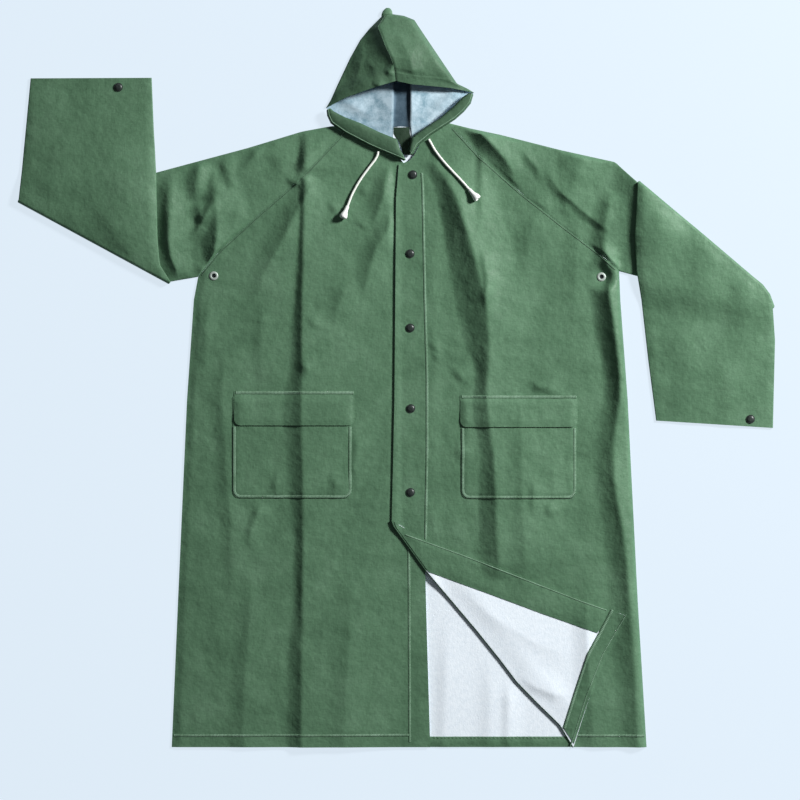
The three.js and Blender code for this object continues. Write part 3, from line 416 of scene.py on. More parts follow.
# Pale and only half metallic, as painted reflection of a bright room that the dim sky doesn't give
eyelet_metal_painted_reflection = speckled(
    "matt eyelet metal with painted reflection", (0.36, 0.42, 0.38), (0.44, 0.50, 0.46), 0.55, 0.3, 300.0,
)
plastic = speckled(
    "white moulded plastic", (0.84, 0.86, 0.83), (0.74, 0.77, 0.74), 0.36, 0.0, 160.0,
)
weld_green = speckled(
    "pale green weld", (0.092, 0.186, 0.108), (0.170, 0.290, 0.196), 0.6, 0.0, 45.0,
)
seam_green = speckled(
    "dark green seam", (0.045, 0.100, 0.058), (0.070, 0.145, 0.084), 0.6, 0.0, 90.0,
)


def braided_cotton():
    """Cord cotton. The braid itself is in the mesh, and this adds the fibres."""
    material, tree, shader = new_material("white braided cotton", (0.80, 0.82, 0.77), 0.9, specular=0.2)
    coordinates = object_coordinates(tree)
    fibres = noise_node(tree, coordinates, FIBRES, detail=4.0)
    soiled = ramp_node(tree, fibres, [(0.3, (0.60, 0.63, 0.57)), (0.6, (0.84, 0.86, 0.81))])
    tree.links.new(soiled, shader.inputs["Base Color"])
    tree.links.new(bump_node(tree, fibres, FIBRE_HEIGHT, 0.5), shader.inputs["Normal"])
    shader.inputs["Sheen Weight"].default_value = CLOTH_SHEEN
    return material


cotton = braided_cotton()
print("materials:", len(bpy.data.materials))

# %% [markdown]
# ## Tables, paths and creases
#
# Every outline is a short table of points on the drawing, in millimetres. A crease is a path
# with a height and two widths at each point: it falls steeply to one side and gently to the
# other, as pressed or packed cloth does. Its places are read from the photograph, so its table
# has columns and rows of the picture, and is turned into millimetres. The sum of all creases
# gives the height of the cloth at any point, so a pocket can repeat its panel's own creases.

# %% Helpers for tables and paths
CLOTH = 1.2
GAP = 0.3
LAYER = CLOTH + GAP


def table(columns, rows):
    """Named columns of a short table, as arrays."""
    values = np.array(rows, float)
    return {name: values[:, i] for i, name in enumerate(columns.split())}


def path_of(points):
    return table("x y", points)


def smooth(t):
    s = np.clip(t, 0.0, 1.0)
    return s * s * (3.0 - 2.0 * s)


def mix(a, b, t):
    return a + (b - a) * t


def by_height(rows, column, y):
    """Value of a column at a height y of the drawing."""
    order = np.argsort(rows["y"])
    return np.interp(y, rows["y"][order], rows[column][order])


def along(rows, share):
    """Points at shares of a path's length."""
    steps = np.hypot(np.diff(rows["x"]), np.diff(rows["y"]))
    length = np.concatenate([[0.0], np.cumsum(steps)])
    at = np.asarray(share, float) * length[-1]
    return {name: np.interp(at, length, values) for name, values in rows.items()}


def path_length(rows):
    return float(np.hypot(np.diff(rows["x"]), np.diff(rows["y"])).sum())


def nearest(rows, x, y):
    """Distance in plan to a path, the side it is on, and the place along the segments."""
    best = np.full(np.shape(x), np.inf)
    side = np.zeros(np.shape(x))
    place = np.zeros(np.shape(x))
    for i in range(len(rows["x"]) - 1):
        ax, ay = rows["x"][i], rows["y"][i]
        dx, dy = rows["x"][i + 1] - ax, rows["y"][i + 1] - ay
        t = np.clip(((x - ax) * dx + (y - ay) * dy) / (dx * dx + dy * dy), 0.0, 1.0)
        px, py = x - ax - t * dx, y - ay - t * dy
        distance = np.hypot(px, py)
        closer = distance < best
        best = np.where(closer, distance, best)
        side = np.where(closer, np.sign(dx * py - dy * px), side)
        place = np.where(closer, i + t, place)
    return best, side, place


# Columns of a crease's table: its place in the picture, height in mm and widths in pixels
CREASE_COLUMNS = "column row height steep easy"
CREST = 1.6
EASY_BOW = 1.3
HEIGHT_GAIN = 1.6
EASY_SPREAD = 2.2
STEEP_SPREAD = 1.3


def crease_height(creases, x, y):
    """Sum of the heights of creases. The steep side is on the right of a crease's travel."""
    total = np.zeros(np.shape(x))
    for crease in creases:
        distance, side, place = nearest(crease, x, y)
        index = np.arange(len(crease["x"]))
        height = np.interp(place, index, crease["height"])
        steep = np.interp(place, index, crease["steep"])
        easy = np.interp(place, index, crease["easy"])
        from_crest = np.hypot(distance, CREST) - CREST
        share = np.clip(1.0 - from_crest / np.where(side < 0, steep, easy), 0.0, 1.0)
        total += height * np.where(side < 0, share ** crease["bow"], share**EASY_BOW)
    return total


def seen(rows, bow=1.7):
    """A crease from its places in the photograph, with the widths of its sides in pixels too.

    A bow over one makes its steep side steepest at the crest, and one under one at the foot.
    """
    points = table(CREASE_COLUMNS, rows)
    return {
        "x": (points["column"] - COAT_CENTRE_PIXEL[0]) * PIXEL,
        "y": (COAT_CENTRE_PIXEL[1] - points["row"]) * PIXEL,
        "height": points["height"] * HEIGHT_GAIN,
        "steep": points["steep"] * PIXEL * STEEP_SPREAD,
        "easy": points["easy"] * PIXEL * EASY_SPREAD,
        "bow": bow,
    }


# %% [markdown]
# ## From an outline to cloth
#
# A flat piece of cloth has a free outline, so it is filled with triangles that are all about
# equal, by a constrained triangulation. It can have a hole, as for an eyelet. A subdivided
# plane cut by a boolean would also work, but it leaves slivers along the cut.

# %% Fill an outline with triangles
HOLE_POINTS = 24
EDGE_CLEAR = 0.55
HOLE_CLEAR = 0.4
IN_HOLE = 0.97


def inside(border, x, y):
    """True for points within a closed outline."""
    crossings = np.zeros(np.shape(x), bool)
    for (ax, ay), (bx, by) in zip(border, np.roll(border, -1, axis=0)):
        if ay == by:
            continue
        spans = (ay > y) != (by > y)
        crossings ^= spans & (x < ax + (y - ay) * (bx - ax) / (by - ay))
    return crossings


def closed_path(outline):
    return path_of([*outline, outline[0]])


def circle(centre_x, centre_y, radius):
    turns = [2 * math.pi * k / HOLE_POINTS for k in range(HOLE_POINTS)]
    return [(centre_x + radius * math.cos(a), centre_y + radius * math.sin(a)) for a in turns]


def place_in_plan(outline, spacing, holes=()):
    """Triangles that fill an outline, on staggered points. Returns x, y and faces."""
    border = np.array(outline, float)
    steps = np.roll(border, -1, axis=0) - border
    points = []
    for start, step in zip(border, steps):
        count = max(1, int(round(np.hypot(*step) / spacing)))
        points += [start + step * k / count for k in range(count)]
    loops = [list(range(len(points)))]
    for hole in holes:
        loops.append(list(range(len(points), len(points) + HOLE_POINTS)))
        points += circle(*hole)
    edges = [(loop[k], loop[(k + 1) % len(loop)]) for loop in loops for k in range(len(loop))]
    low, high = border.min(axis=0), border.max(axis=0)
    rise = spacing * math.sqrt(3) / 2
    rows = np.arange(low[1], high[1], rise)
    grid = []
    for j, y in enumerate(rows):
        xs = np.arange(low[0] + (j % 2) * spacing / 2, high[0], spacing)
        grid.append(np.column_stack([xs, np.full(len(xs), y)]))
    grid = np.concatenate(grid)
    keep = inside(border, grid[:, 0], grid[:, 1])
    keep &= nearest(closed_path(outline), grid[:, 0], grid[:, 1])[0] > spacing * EDGE_CLEAR
    for hx, hy, radius in holes:
        keep &= np.hypot(grid[:, 0] - hx, grid[:, 1] - hy) > radius + spacing * HOLE_CLEAR
    vertices = [Vector((float(p[0]), float(p[1]))) for p in points]
    vertices += [Vector((float(p[0]), float(p[1]))) for p in grid[keep]]
    found, _, faces, _, _, _ = geometry.delaunay_2d_cdt(vertices, edges, [], 0, 1e-4)
    flat = np.array([(v.x, v.y) for v in found])
    middle = np.array([flat[list(face)].mean(axis=0) for face in faces])
    wanted = inside(border, middle[:, 0], middle[:, 1])
    for hx, hy, radius in holes:
        wanted &= np.hypot(middle[:, 0] - hx, middle[:, 1] - hy) > radius * IN_HOLE
    faces = [tuple(face) for face, good in zip(faces, wanted) if good]
    return flat[:, 0], flat[:, 1], faces


# %% [markdown]
# The triangles then get their heights and become a mesh. A Solidify modifier adds the wall, so
# the cloth has a true thickness and its other side can have another material. The modifiers
# are applied at once, because every visible piece has to be a plain mesh.

# %% Turn points into a piece of cloth
def lift(x, y, height):
    """Points from places in plan and heights over the floor."""
    return np.column_stack([x, y, height])


def grid_faces(rows, columns, closed=False):
    """Quads of a grid of points that are counted row by row."""
    across = columns if closed else columns - 1
    faces = []
    for i in range(rows - 1):
        low, high = i * columns, (i + 1) * columns
        for j in range(across):
            k = (j + 1) % columns
            faces.append((low + j, low + k, high + k, high + j))
    return faces


def new_piece(name, points, edges, faces, materials):
    """An object with a mesh from points in metres."""
    mesh = bpy.data.meshes.new(name)
    mesh.from_pydata(points.tolist(), edges, faces)
    for material in materials:
        mesh.materials.append(material)
    piece = bpy.data.objects.new(name, mesh)
    bpy.context.collection.objects.link(piece)
    return piece


def freeze(piece):
    """Turns a piece with modifiers into a plain mesh."""
    graph = bpy.context.evaluated_depsgraph_get()
    solid = bpy.data.meshes.new_from_object(piece.evaluated_get(graph))
    piece.modifiers.clear()
    piece.data = solid
    for polygon in solid.polygons:
        polygon.use_smooth = True
    return piece


SHARP_CLOTH = 50.0


def add_cloth(name, node, points, faces, drawn, wall_side, thickness=CLOTH, merge=0.0, facing_and_painted_shade=()):
    """Cloth whose drawn side is the given surface, with its wall on the other side.

    It replaces a solid. The listed faces have the wall side's material on both sides, for a facing and
    for painted shade on a fold.
    """
    piece = new_piece(name, to_frame(points), [], faces, [drawn, wall_side])
    for index in facing_and_painted_shade:
        piece.data.polygons[index].material_index = 1
    if merge:
        joined = piece.modifiers.new("joined points", "WELD")
        joined.merge_threshold = merge * MM
    wall = piece.modifiers.new("wall", "SOLIDIFY")
    wall.thickness = thickness * MM
    wall.offset = -1.0
    wall.use_rim = True
    wall.material_offset = 1
    wall.material_offset_rim = 0
    freeze(piece)
    piece.data.set_sharp_from_angle(angle=math.radians(SHARP_CLOTH))
    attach(piece, "root")
    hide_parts(node)
    count = sum(len(p.vertices) - 2 for p in piece.data.polygons)
    area = sum(p.area for p in piece.data.polygons) / 2
    print(f"{name}: {count} triangles, {area:.3f} m2 of cloth")
    return piece


# %% [markdown]
# ## Outlines of the body
#
# The body is cut like a wide A-line coat. Both fronts and the back share the side edges and
# the sloping sleeve seams. The wearer's left front laps over the right one. Its lower corner
# is turned back along a slanting fold.

# %% Outlines of the body, in millimetres
HEM_Y = -701.0
BODY_SIDES = table("y right left", [
    (-701, -426, 475), (-422, -414, 458), (-42, -397, 439), (148, -384, 425), (198, -376, 423),
])
SEAM_RIGHT = path_of([(-376, 192), (-334, 243), (-255, 315), (-182, 378), (-84, 482)])
SEAM_LEFT = path_of([(423, 203), (384, 238), (312, 293), (236, 353), (160, 420), (101, 484)])
NECK_BACK = [(-38, 479), (13, 477), (61, 480)]
NECK_RIGHT = [(-93, 472), (-40, 446), (4, 420), (15, 408)]
NECK_LEFT = [(101, 484), (72, 466), (46, 446), (34, 422), (25, 412), (5, 405)]
EDGE_RIGHT = [(53, 395), (55, -346), (59, -498), (65, HEM_Y)]
EDGE_LEFT = [(0, 338), (-3, -42)]
CORNER_FOLD = path_of([
    (-8, -270), (-4, -281), (57, -365), (155, -481), (199, -536), (230, -577), (270, -618),
    (312, -659), (337, -701),
])
CORNER_FRONT_EDGE = [(57, -308), (122, -331), (195, -359), (274, -390), (349, -419), (441, -453)]
CORNER_HEM_EDGE = [(441, -453), (398, -526), (368, -602), (337, -701)]
FACING_INNER = [(382, -484), (274, -446), (191, -415), (62, -368)]
CORNER_HEM_INNER = [(407, -440), (383.5, -485), (362, -524), (337, -599), (317, -663)]
SEAM_END = 0.992
SEAM_HALF = 0.25
SEAM_POINTS = 24


def side_edge(column):
    """A side of the body from the hem to the armpit, where the sleeve's seam goes on."""
    return list(zip(BODY_SIDES[column], BODY_SIDES["y"]))[:-1]


def seam_line(seam, shift):
    points = along(seam, np.linspace(0, SEAM_END, SEAM_POINTS))
    return [(x + shift, y) for x, y in zip(points["x"], points["y"])]


SEAM_RIGHT_BODY = seam_line(SEAM_RIGHT, SEAM_HALF)
SEAM_LEFT_BODY = seam_line(SEAM_LEFT, -SEAM_HALF)
SIDE_RIGHT = side_edge("right")
SIDE_LEFT = side_edge("left")
print(f"the hem is {SIDE_LEFT[0][0] - SIDE_RIGHT[0][0]:.0f} mm wide")

# %% [markdown]
# ## Creases of the body
#
# The coat was packed folded in length, so two long pressed creases run down its fronts, and
# broad soft slopes fall towards both sides. Short diagonal folds fan out from the shoulders,
# where the folded arms pull at the cloth. Their places and lengths come from the photograph,
# and their heights from how dark it shows them. The lamp stands at the right, so a slope that
# faces left looks dark. Most tables run from the top of a crease to its foot, which puts the
# steep side on the left.

# %% Creases of the fronts
CREASES = [
    # Pressed crease down the front on the picture's left
    seen([
        (305.5, 128, 0, 3, 30), (305.5, 150, 2.5, 4, 30), (305, 168, 4, 8, 30),
        (305, 176, 2, 6, 30),
        (304.5, 200, 3, 3, 36), (304, 235, 4, 4, 36), (303, 285, 5, 6, 40), (302.5, 320, 6, 8, 45),
        (302.5, 350, 6.5, 10, 45), (303, 372, 6, 10, 45), (302, 390, 6.5, 14, 45),
        (302, 425, 6, 14, 45), (303, 450, 6.2, 13, 45), (303.5, 480, 6.2, 13, 45),
        (303.5, 505, 5.2, 10, 45), (303.5, 540, 4.6, 7, 45), (303, 620, 4.6, 8, 45),
        (302, 650, 5.4, 11, 45), (302, 746, 5.8, 12, 45),
    ], bow=1.55),
    # Dark trough from the neck down the front on the picture's right
    seen([
        (428, 158, 0, 6, 14), (436, 166, 4, 8, 14), (447, 180, 7.5, 11, 16),
        (455, 196, 9.5, 14, 18),
        (461, 212, 11.5, 16, 18), (466, 228, 12.5, 17, 18), (471, 245, 12.5, 19, 18),
        (476, 262, 12.5, 21, 18), (480, 280, 12, 22, 20), (484, 300, 11.5, 22, 20),
        (487, 320, 11, 21, 22),
        (489, 338, 9.5, 20, 22), (489, 355, 8.5, 14, 22), (488, 370, 7, 10, 22),
        (487, 385, 6, 9, 22),
        (487, 398, 6, 11, 22), (489, 418, 6, 12, 22), (491, 436, 5, 10, 24), (494, 455, 6, 10, 30),
        (495, 475, 7, 12, 32), (496, 500, 7.5, 13, 34), (497, 525, 7.5, 14, 34),
        (498, 550, 7, 15, 34),
        (499, 565, 5, 14, 30), (500, 580, 0, 10, 20),
    ], bow=1.25),
    # Short pressed line beside it
    seen([
        (481, 248, 0, 3, 4), (484, 262, 2, 4, 5), (487, 280, 3, 4, 6), (486, 296, 3, 4, 6),
        (489, 316, 0, 3, 4),
    ]),
    # Pressed line above it, from the shoulder seam
    seen([
        (481, 140, 0, 4, 8), (482, 160, 2.4, 5, 9), (481, 190, 2.4, 5, 9), (482, 215, 1, 5, 9),
        (482, 240, 0, 4, 8),
    ]),
    # Broad slope at the picture's far right
    seen([
        (602, 240, 0, 8, 8), (606, 256, 8, 13, 9), (607, 275, 11.5, 16, 9), (610, 300, 12, 16, 9),
        (614, 325, 12, 16, 8), (617, 350, 11.5, 14, 8), (620, 375, 10.5, 13, 7),
        (620, 400, 9, 13, 7),
        (616, 425, 7, 14, 10), (613, 450, 7, 15, 12), (614, 480, 7.5, 16, 12),
        (618, 505, 8, 16, 11),
        (623, 530, 8, 16, 9), (627, 570, 7.5, 17, 8), (631, 620, 6.5, 17, 7), (635, 680, 5, 16, 6),
        (638, 746, 4, 16, 6),
    ]),
    # Soft slopes over the picture's right panel
    seen([
        (520, 400, 0, 12, 20), (521, 440, 2.4, 12, 24), (522, 500, 2.6, 13, 24),
        (525, 560, 2, 12, 24),
        (526, 600, 0, 10, 20),
    ]),
    seen([(552, 430, 0, 10, 16), (553, 470, 1.8, 11, 20), (554, 520, 0, 10, 16)]),
    seen([
        (545, 190, 0, 10, 20), (532, 225, 2, 13, 24), (526, 262, 2, 13, 24), (524, 310, 0, 11, 20),
    ]),
    seen([
        (578, 205, 0, 10, 18), (577, 240, 2, 12, 18), (575, 290, 1.6, 12, 18),
        (577, 340, 0, 10, 16),
    ]),
    # Slants from the collar to the left of the front edge
    seen([
        (402, 214, 0, 8, 8), (393, 222, 4, 10, 9), (384, 236, 5, 12, 9), (376, 250, 4.5, 12, 9),
        (370, 268, 4, 12, 10), (366, 285, 2.5, 11, 12), (362, 300, 0, 9, 10),
    ]),
    seen([
        (389, 164, 0, 10, 7), (386, 180, 4.5, 13, 8), (384, 194, 5.5, 13, 8), (380, 208, 4, 11, 8),
        (375, 220, 2, 9, 8), (370, 230, 0, 7, 7),
    ]),
    seen([
        (352, 278, 0, 9, 10), (344, 292, 3, 12, 12), (338, 308, 2.5, 12, 13), (333, 324, 0, 9, 10),
    ]),
    # Slant from the pressed crease to the side
    seen([
        (316, 178, 0, 8, 8), (308, 192, 5, 12, 11), (300, 207, 6, 14, 12), (291, 224, 6, 15, 12),
        (283, 240, 5.5, 15, 12), (275, 254, 4.5, 14, 13), (266, 270, 3, 13, 14),
        (258, 290, 1.6, 12, 14),
        (252, 310, 0, 10, 12),
    ]),
    # Crumple at the sleeve seam
    seen([
        (286, 174, 0, 3, 3), (291, 181, 2, 4, 3), (296, 183, 2.4, 4, 3), (300, 178, 2.6, 4, 3),
        (306, 180, 2.4, 4, 4), (309, 186, 0, 3, 3),
    ]),
    seen([(291, 188, 0, 4, 4), (297, 184, 2.5, 4, 4), (304, 183, 2.5, 5, 4), (308, 187, 0, 4, 4)]),
    # Short crumples over the front
    seen([(326, 200, 0, 4, 6), (334, 208, 1.8, 5, 7), (343, 217, 0, 4, 6)]),
    seen([(356, 221, 0, 3, 5), (363, 225, 1.8, 4, 6), (373, 230, 0, 3, 5)]),
    seen([(356, 186, 0, 3, 5), (364, 191, 1.4, 4, 6), (372, 196, 0, 3, 5)]),
    seen([(428, 338, 0, 3, 6), (434, 346, 2, 4, 7), (441, 354, 0, 3, 6)]),
    seen([(430, 350, 0, 3, 6), (436, 357, 1.8, 4, 7), (442, 362, 0, 3, 6)]),
    seen([(452, 366, 0, 4, 6), (460, 376, 2.4, 5, 8), (467, 384, 0, 4, 6)]),
    seen([(528, 378, 0, 4, 6), (537, 386, 2.2, 5, 7), (549, 389, 2.2, 5, 7), (560, 396, 0, 4, 6)]),
    seen([(262, 500, 0, 4, 6), (258, 512, 2.4, 5, 8), (251, 530, 2, 5, 9), (250, 548, 0, 4, 6)]),
    seen([(278, 470, 0, 4, 6), (276, 484, 2, 5, 7), (277, 498, 0, 4, 6)]),
    seen([(548, 500, 0, 4, 6), (549, 510, 2, 4, 7), (551, 520, 0, 4, 6)]),
    seen([(532, 478, 0, 5, 7), (534, 490, 2, 5, 7), (533, 505, 1.4, 5, 7), (532, 518, 0, 4, 6)]),
    seen([(461, 440, 0, 4, 6), (460, 452, 2, 5, 7), (459, 464, 0, 4, 6)]),
    seen([(334, 470, 0, 5, 7), (336, 484, 2, 6, 8), (333, 500, 0, 5, 7)]),
    seen([(245, 318, 0, 4, 5), (262, 321, 1, 4, 5), (275, 321, 0, 4, 5)]),
    seen([(306, 318, 0, 3, 5), (314, 324, 1.8, 4, 5), (324, 328, 0, 3, 5)]),
    seen([(300, 360, 0, 5, 7), (306, 368, 2.4, 5, 6), (309, 378, 0, 4, 6)]),
    seen([(264, 302, 0, 6, 12), (260, 340, 1.6, 8, 16), (262, 400, 0, 6, 12)]),
    seen([
        (225, 330, 0, 8, 14), (222, 400, 2, 10, 18), (226, 460, 2.2, 10, 18), (232, 540, 2, 10, 18),
        (230, 620, 0, 9, 14),
    ]),
    seen([(209, 285, 0, 7, 10), (206, 330, 2, 9, 12), (204, 380, 0, 7, 10)]),
    seen([
        (252, 560, 0, 10, 16), (250, 620, 2.2, 12, 18), (244, 690, 2.4, 12, 18),
        (243, 746, 2, 12, 18),
    ]),
    seen([
        (354, 420, 0, 8, 12), (357, 445, 2.6, 9, 12), (354, 470, 2.2, 8, 12), (358, 495, 0, 7, 10),
    ]),
    seen([
        (352, 560, 0, 12, 18), (350, 620, 2, 14, 22), (346, 690, 2, 14, 22),
        (345, 746, 1.6, 14, 22),
    ]),
    seen([
        (588, 560, 0, 12, 14), (586, 620, 2.4, 13, 14), (590, 690, 2.6, 14, 14),
        (592, 746, 2.2, 14, 14),
    ]),
]
print("creases of the fronts:", len(CREASES))

# %% [markdown]
# ## How high each front lies
#
# The height of a front is a sum: its calm height, its creases, and what lies under it. It comes
# down to the back at the side edges and at the lower end of the fold. It is calm where it is
# stiff or held: round the eyelets, along the snaps and next to the turned corner. The numbers
# are widths and heights in millimetres.

# %% Heights of the fronts and the corner
EYELETS = {"right": (-346.0, 194.0), "left": (390.0, 192.0)}
EYELET_FLAT = 7.0
EYELET_CALM = 26.0
FRONT_BASE = 4.0
EDGE_FLOOR = LAYER
RIGHT_EDGE_ROLL = 16.0
LEFT_EDGE_ROLL = 4.0
# The part of the right front that the left one covers
COVER_X = -14.0
COVER_FADE_X = 12.0
COVER_Y = -300.0
COVER_FADE_Y = 30.0
# The left front climbs on the right one between these two lines
LAP_INNER = 68.0
LAP_OUTER = 92.0
# Its free edge stands up a little, and the strip with the snaps is calm
EDGE_STAND = 2.2
EDGE_STAND_X = -3.0
EDGE_STAND_WIDTH = 16.0
PLACKET_CALM_FROM = 34.0
PLACKET_CALM_TO = 58.0
# Beyond the right front the fold sinks to the back
FOLD_ON_FRONT = 62.0
FOLD_SINK_LENGTH = 45.0
FOLD_SINK_WIDTH = 45.0
CORNER_GAP = 1.2
CORNER_SETTLE = 70.0


def near_eyelet(side, x, y):
    """One at the eyelet, where the cloth lies at its calm height, and nothing further out."""
    away = np.hypot(x - EYELETS[side][0], y - EYELETS[side][1])
    return 1 - smooth((away - EYELET_FLAT) / EYELET_CALM)


def right_under(x, y):
    """Underside of the wearer's right front. It is calm where the other front covers it."""
    edge = x - by_height(BODY_SIDES, "right", y)
    covered = smooth((x - COVER_X) / COVER_FADE_X) * smooth((y - COVER_Y) / COVER_FADE_Y)
    creases = crease_height(CREASES, x, y) * (1 - covered) * (1 - near_eyelet("right", x, y))
    return mix(EDGE_FLOOR, FRONT_BASE + creases, smooth(edge / RIGHT_EDGE_ROLL))


def left_under(x, y):
    """Underside of the wearer's left front, which laps over the other one."""
    edge = by_height(BODY_SIDES, "left", y) - x
    from_fold = nearest(CORNER_FOLD, x, y)[0]
    on_back = smooth((x - FOLD_ON_FRONT) / FOLD_SINK_LENGTH)
    sunk = on_back * (1 - smooth(from_fold / FOLD_SINK_WIDTH))
    lap = LAYER * (1 - smooth((x - LAP_INNER) / (LAP_OUTER - LAP_INNER))) * (1 - sunk)
    stand = EDGE_STAND * (1 - smooth((x - EDGE_STAND_X) / EDGE_STAND_WIDTH))
    placket = smooth((x - PLACKET_CALM_FROM) / (PLACKET_CALM_TO - PLACKET_CALM_FROM))
    calm = smooth(from_fold / CORNER_SETTLE) * placket * (1 - near_eyelet("left", x, y))
    creases = crease_height(CREASES, x, y) * calm
    sink = (FRONT_BASE - LAYER) * sunk
    height = FRONT_BASE + lap + stand + creases - sink
    return mix(EDGE_FLOOR, height, smooth(edge / LEFT_EDGE_ROLL))


FLAP_CREASES = [
    seen([
        (516, 672, 0, 6, 8), (534, 686, 1.4, 7, 10), (554, 694, 1.4, 7, 10), (568, 694, 0, 6, 8),
    ]),
    seen([
        (459, 586, 0, 8, 10), (490, 615, 0.9, 10, 13), (532, 641, 0.8, 11, 13),
        (570, 657, 0, 8, 10),
    ]),
]


def corner_under(x, y):
    """Underside of the turned-back corner, which lies on the left front."""
    distance = nearest(CORNER_FOLD, x, y)[0]
    air = CORNER_GAP * (1 - smooth(distance / CORNER_SETTLE))
    return left_under(x, y) + LAYER + air + crease_height(FLAP_CREASES, x, y)


# %% [markdown]
# ## Back and right front
#
# Each panel is filled with small triangles inside its outline, so a crease can run in any
# direction without steps. A regular grid would show steps along slanting creases and edges.
# The triangles carry the side that is drawn, and a thin wall is added behind it. The back's
# green side lies on the floor, and its white side shows beside the turned corner.

# %% Back panel and right front
PANEL_SPACING = 4.0
BACK_SPACING = 7.5
EYELET_HOLE = 5.4
# The back shows right of this line and below the other, in millimetres
BACK_SHOWN_X = 66.0
BACK_FADE_X = 20.0
BACK_SHOWN_Y = -380.0
BACK_FADE_Y = 60.0
BACK_CREASES = [
    seen([
        (510, 682, 0, 4, 5), (508, 699, 1.6, 5, 8), (507.5, 741, 1.2, 5, 8), (507.5, 757, 0, 4, 5),
    ]),
    seen([(446.5, 615, 0, 8, 10), (445.5, 673, 1.2, 10, 13), (443.5, 747, 1, 10, 13)]),
    seen([(488.5, 657, 0, 7, 10), (489.5, 694, 1, 9, 12), (488.5, 747, 1, 9, 12)]),
]


def back_top(x, y):
    """The white side of the back. It has creases only where the turned corner shows it."""
    shown = smooth((x - BACK_SHOWN_X) / BACK_FADE_X) * smooth((BACK_SHOWN_Y - y) / BACK_FADE_Y)
    return CLOTH + crease_height(BACK_CREASES, x, y) * shown


back_outline = SIDE_RIGHT + SEAM_RIGHT_BODY + NECK_BACK + SEAM_LEFT_BODY[::-1] + SIDE_LEFT[::-1]
x, y, faces = place_in_plan(back_outline, BACK_SPACING)
add_cloth("back_panel", "back", lift(x, y, back_top(x, y)), faces, white_side, coated)

right_outline = SIDE_RIGHT + SEAM_RIGHT_BODY[:-1] + NECK_RIGHT + EDGE_RIGHT
x, y, faces = place_in_plan(right_outline, PANEL_SPACING, [(*EYELETS["right"], EYELET_HOLE)])
points = lift(x, y, right_under(x, y) + CLOTH)
add_cloth("front_panel_right", "front_right", points, faces, coated, white_side)

# %% [markdown]
# ## Left front with its turned-back corner
#
# This panel is one piece of cloth that doubles back on itself, so it is one mesh: the part
# that lies coated side up, a rounded fold, and the corner that lies white side up. All three
# share the points of the fold line and are joined there. The white side is the drawn surface
# and the green side is the wall's other face. Along its front edge and on the upper part of the
# fold the white side has a green facing, so the faces there are green on both sides. Below the
# facing the rounded fold is green on both sides too, as painted shade along the fold line.

# %% Left front, fold and corner
FOLD_POINTS = 96
FOLD_TURNS = 10
FOLD_MERGE = 0.2
# The facing is this wide along the front edge, and along the fold down to a height
FACED_WIDTH = 46.0
FOLD_FACED = 9.0
FACED_TO = -366.0

fold = along(CORNER_FOLD, np.linspace(0, 1, FOLD_POINTS))
fold_line = list(zip(fold["x"], fold["y"]))
left_outline = SIDE_LEFT + SEAM_LEFT_BODY[:-1] + NECK_LEFT + EDGE_LEFT + fold_line
x, y, faces = place_in_plan(left_outline, PANEL_SPACING, [(*EYELETS["left"], EYELET_HOLE)])
lying = lift(x, y, left_under(x, y))
lying_faces = [face[::-1] for face in faces]

corner_outline = CORNER_FRONT_EDGE + CORNER_HEM_EDGE[1:-1] + fold_line[::-1]
x, y, faces = place_in_plan(corner_outline, PANEL_SPACING)
turned = lift(x, y, corner_under(x, y) + CLOTH)
turned_faces = [tuple(k + len(lying) for k in face) for face in faces]

run_x, run_y = np.gradient(fold["x"]), np.gradient(fold["y"])
run = np.hypot(run_x, run_y)
out_x, out_y = run_y / run, -run_x / run
low = left_under(fold["x"], fold["y"])
high = corner_under(fold["x"], fold["y"]) + CLOTH
radius = (high - low) / 2
bend = []
for k in range(FOLD_TURNS + 1):
    angle = math.pi * k / FOLD_TURNS
    reach = radius * math.sin(angle)
    rise = low + radius * (1 - math.cos(angle))
    bend.append(lift(fold["x"] + out_x * reach, fold["y"] + out_y * reach, rise))
first = len(lying) + len(turned)
bend_faces = [tuple(k + first for k in face) for face in grid_faces(FOLD_TURNS + 1, FOLD_POINTS)]
print("fold turns outward:", bool(out_x.mean() < 0))

middle_x, middle_y = np.array([turned[list(face), :2].mean(axis=0) for face in faces]).T
from_front = nearest(path_of(CORNER_FRONT_EDGE), middle_x, middle_y)[0]
from_bend = nearest(CORNER_FOLD, middle_x, middle_y)[0]
under_facing = (from_front < FACED_WIDTH) | ((from_bend < FOLD_FACED) & (middle_y > FACED_TO))
facing_and_painted_shade = [len(lying_faces) + int(k) for k in np.flatnonzero(under_facing)]
# The whole rounded fold is green on both sides: a facing at its upper end, and below that painted shade
# along the fold line
facing_and_painted_shade += [len(lying_faces) + len(turned_faces) + k for k in range(len(bend_faces))]
add_cloth(
    "front_panel_left", "front_left", np.concatenate([lying, turned, *bend]),
    lying_faces + turned_faces + bend_faces, white_side, coated, merge=FOLD_MERGE, facing_and_painted_shade=facing_and_painted_shade,
)

# %% [markdown]
# ## Facing, hems and pockets
#
# These lie on a panel, so each takes the panel's own surface, moved out by its layers, and is
# cut by its own outline. Its edge is pressed down on the panel and its middle stands up a
# little. A pocket could be a flat box, but then the panel's creases would stop at its edge,
# and here they run on through it.

# %% Pieces that lie on the panels
POCKET_CORNER = 12.0
ROUND_STEPS = 6
LAID_SPACING = 3.4
THIN = 0.8
EDGE_PRESS = 0.2
PLY_RISE = 0.9
PLY_SLOPE = 12.0
POCKET_SWELL = 0.5
FLAP_LIFT = 1.6
FLAP_FREE = 40.0
BACK_HEM_WIDTH = 20.0

PANEL_UNDER = {"right": right_under, "left": left_under}
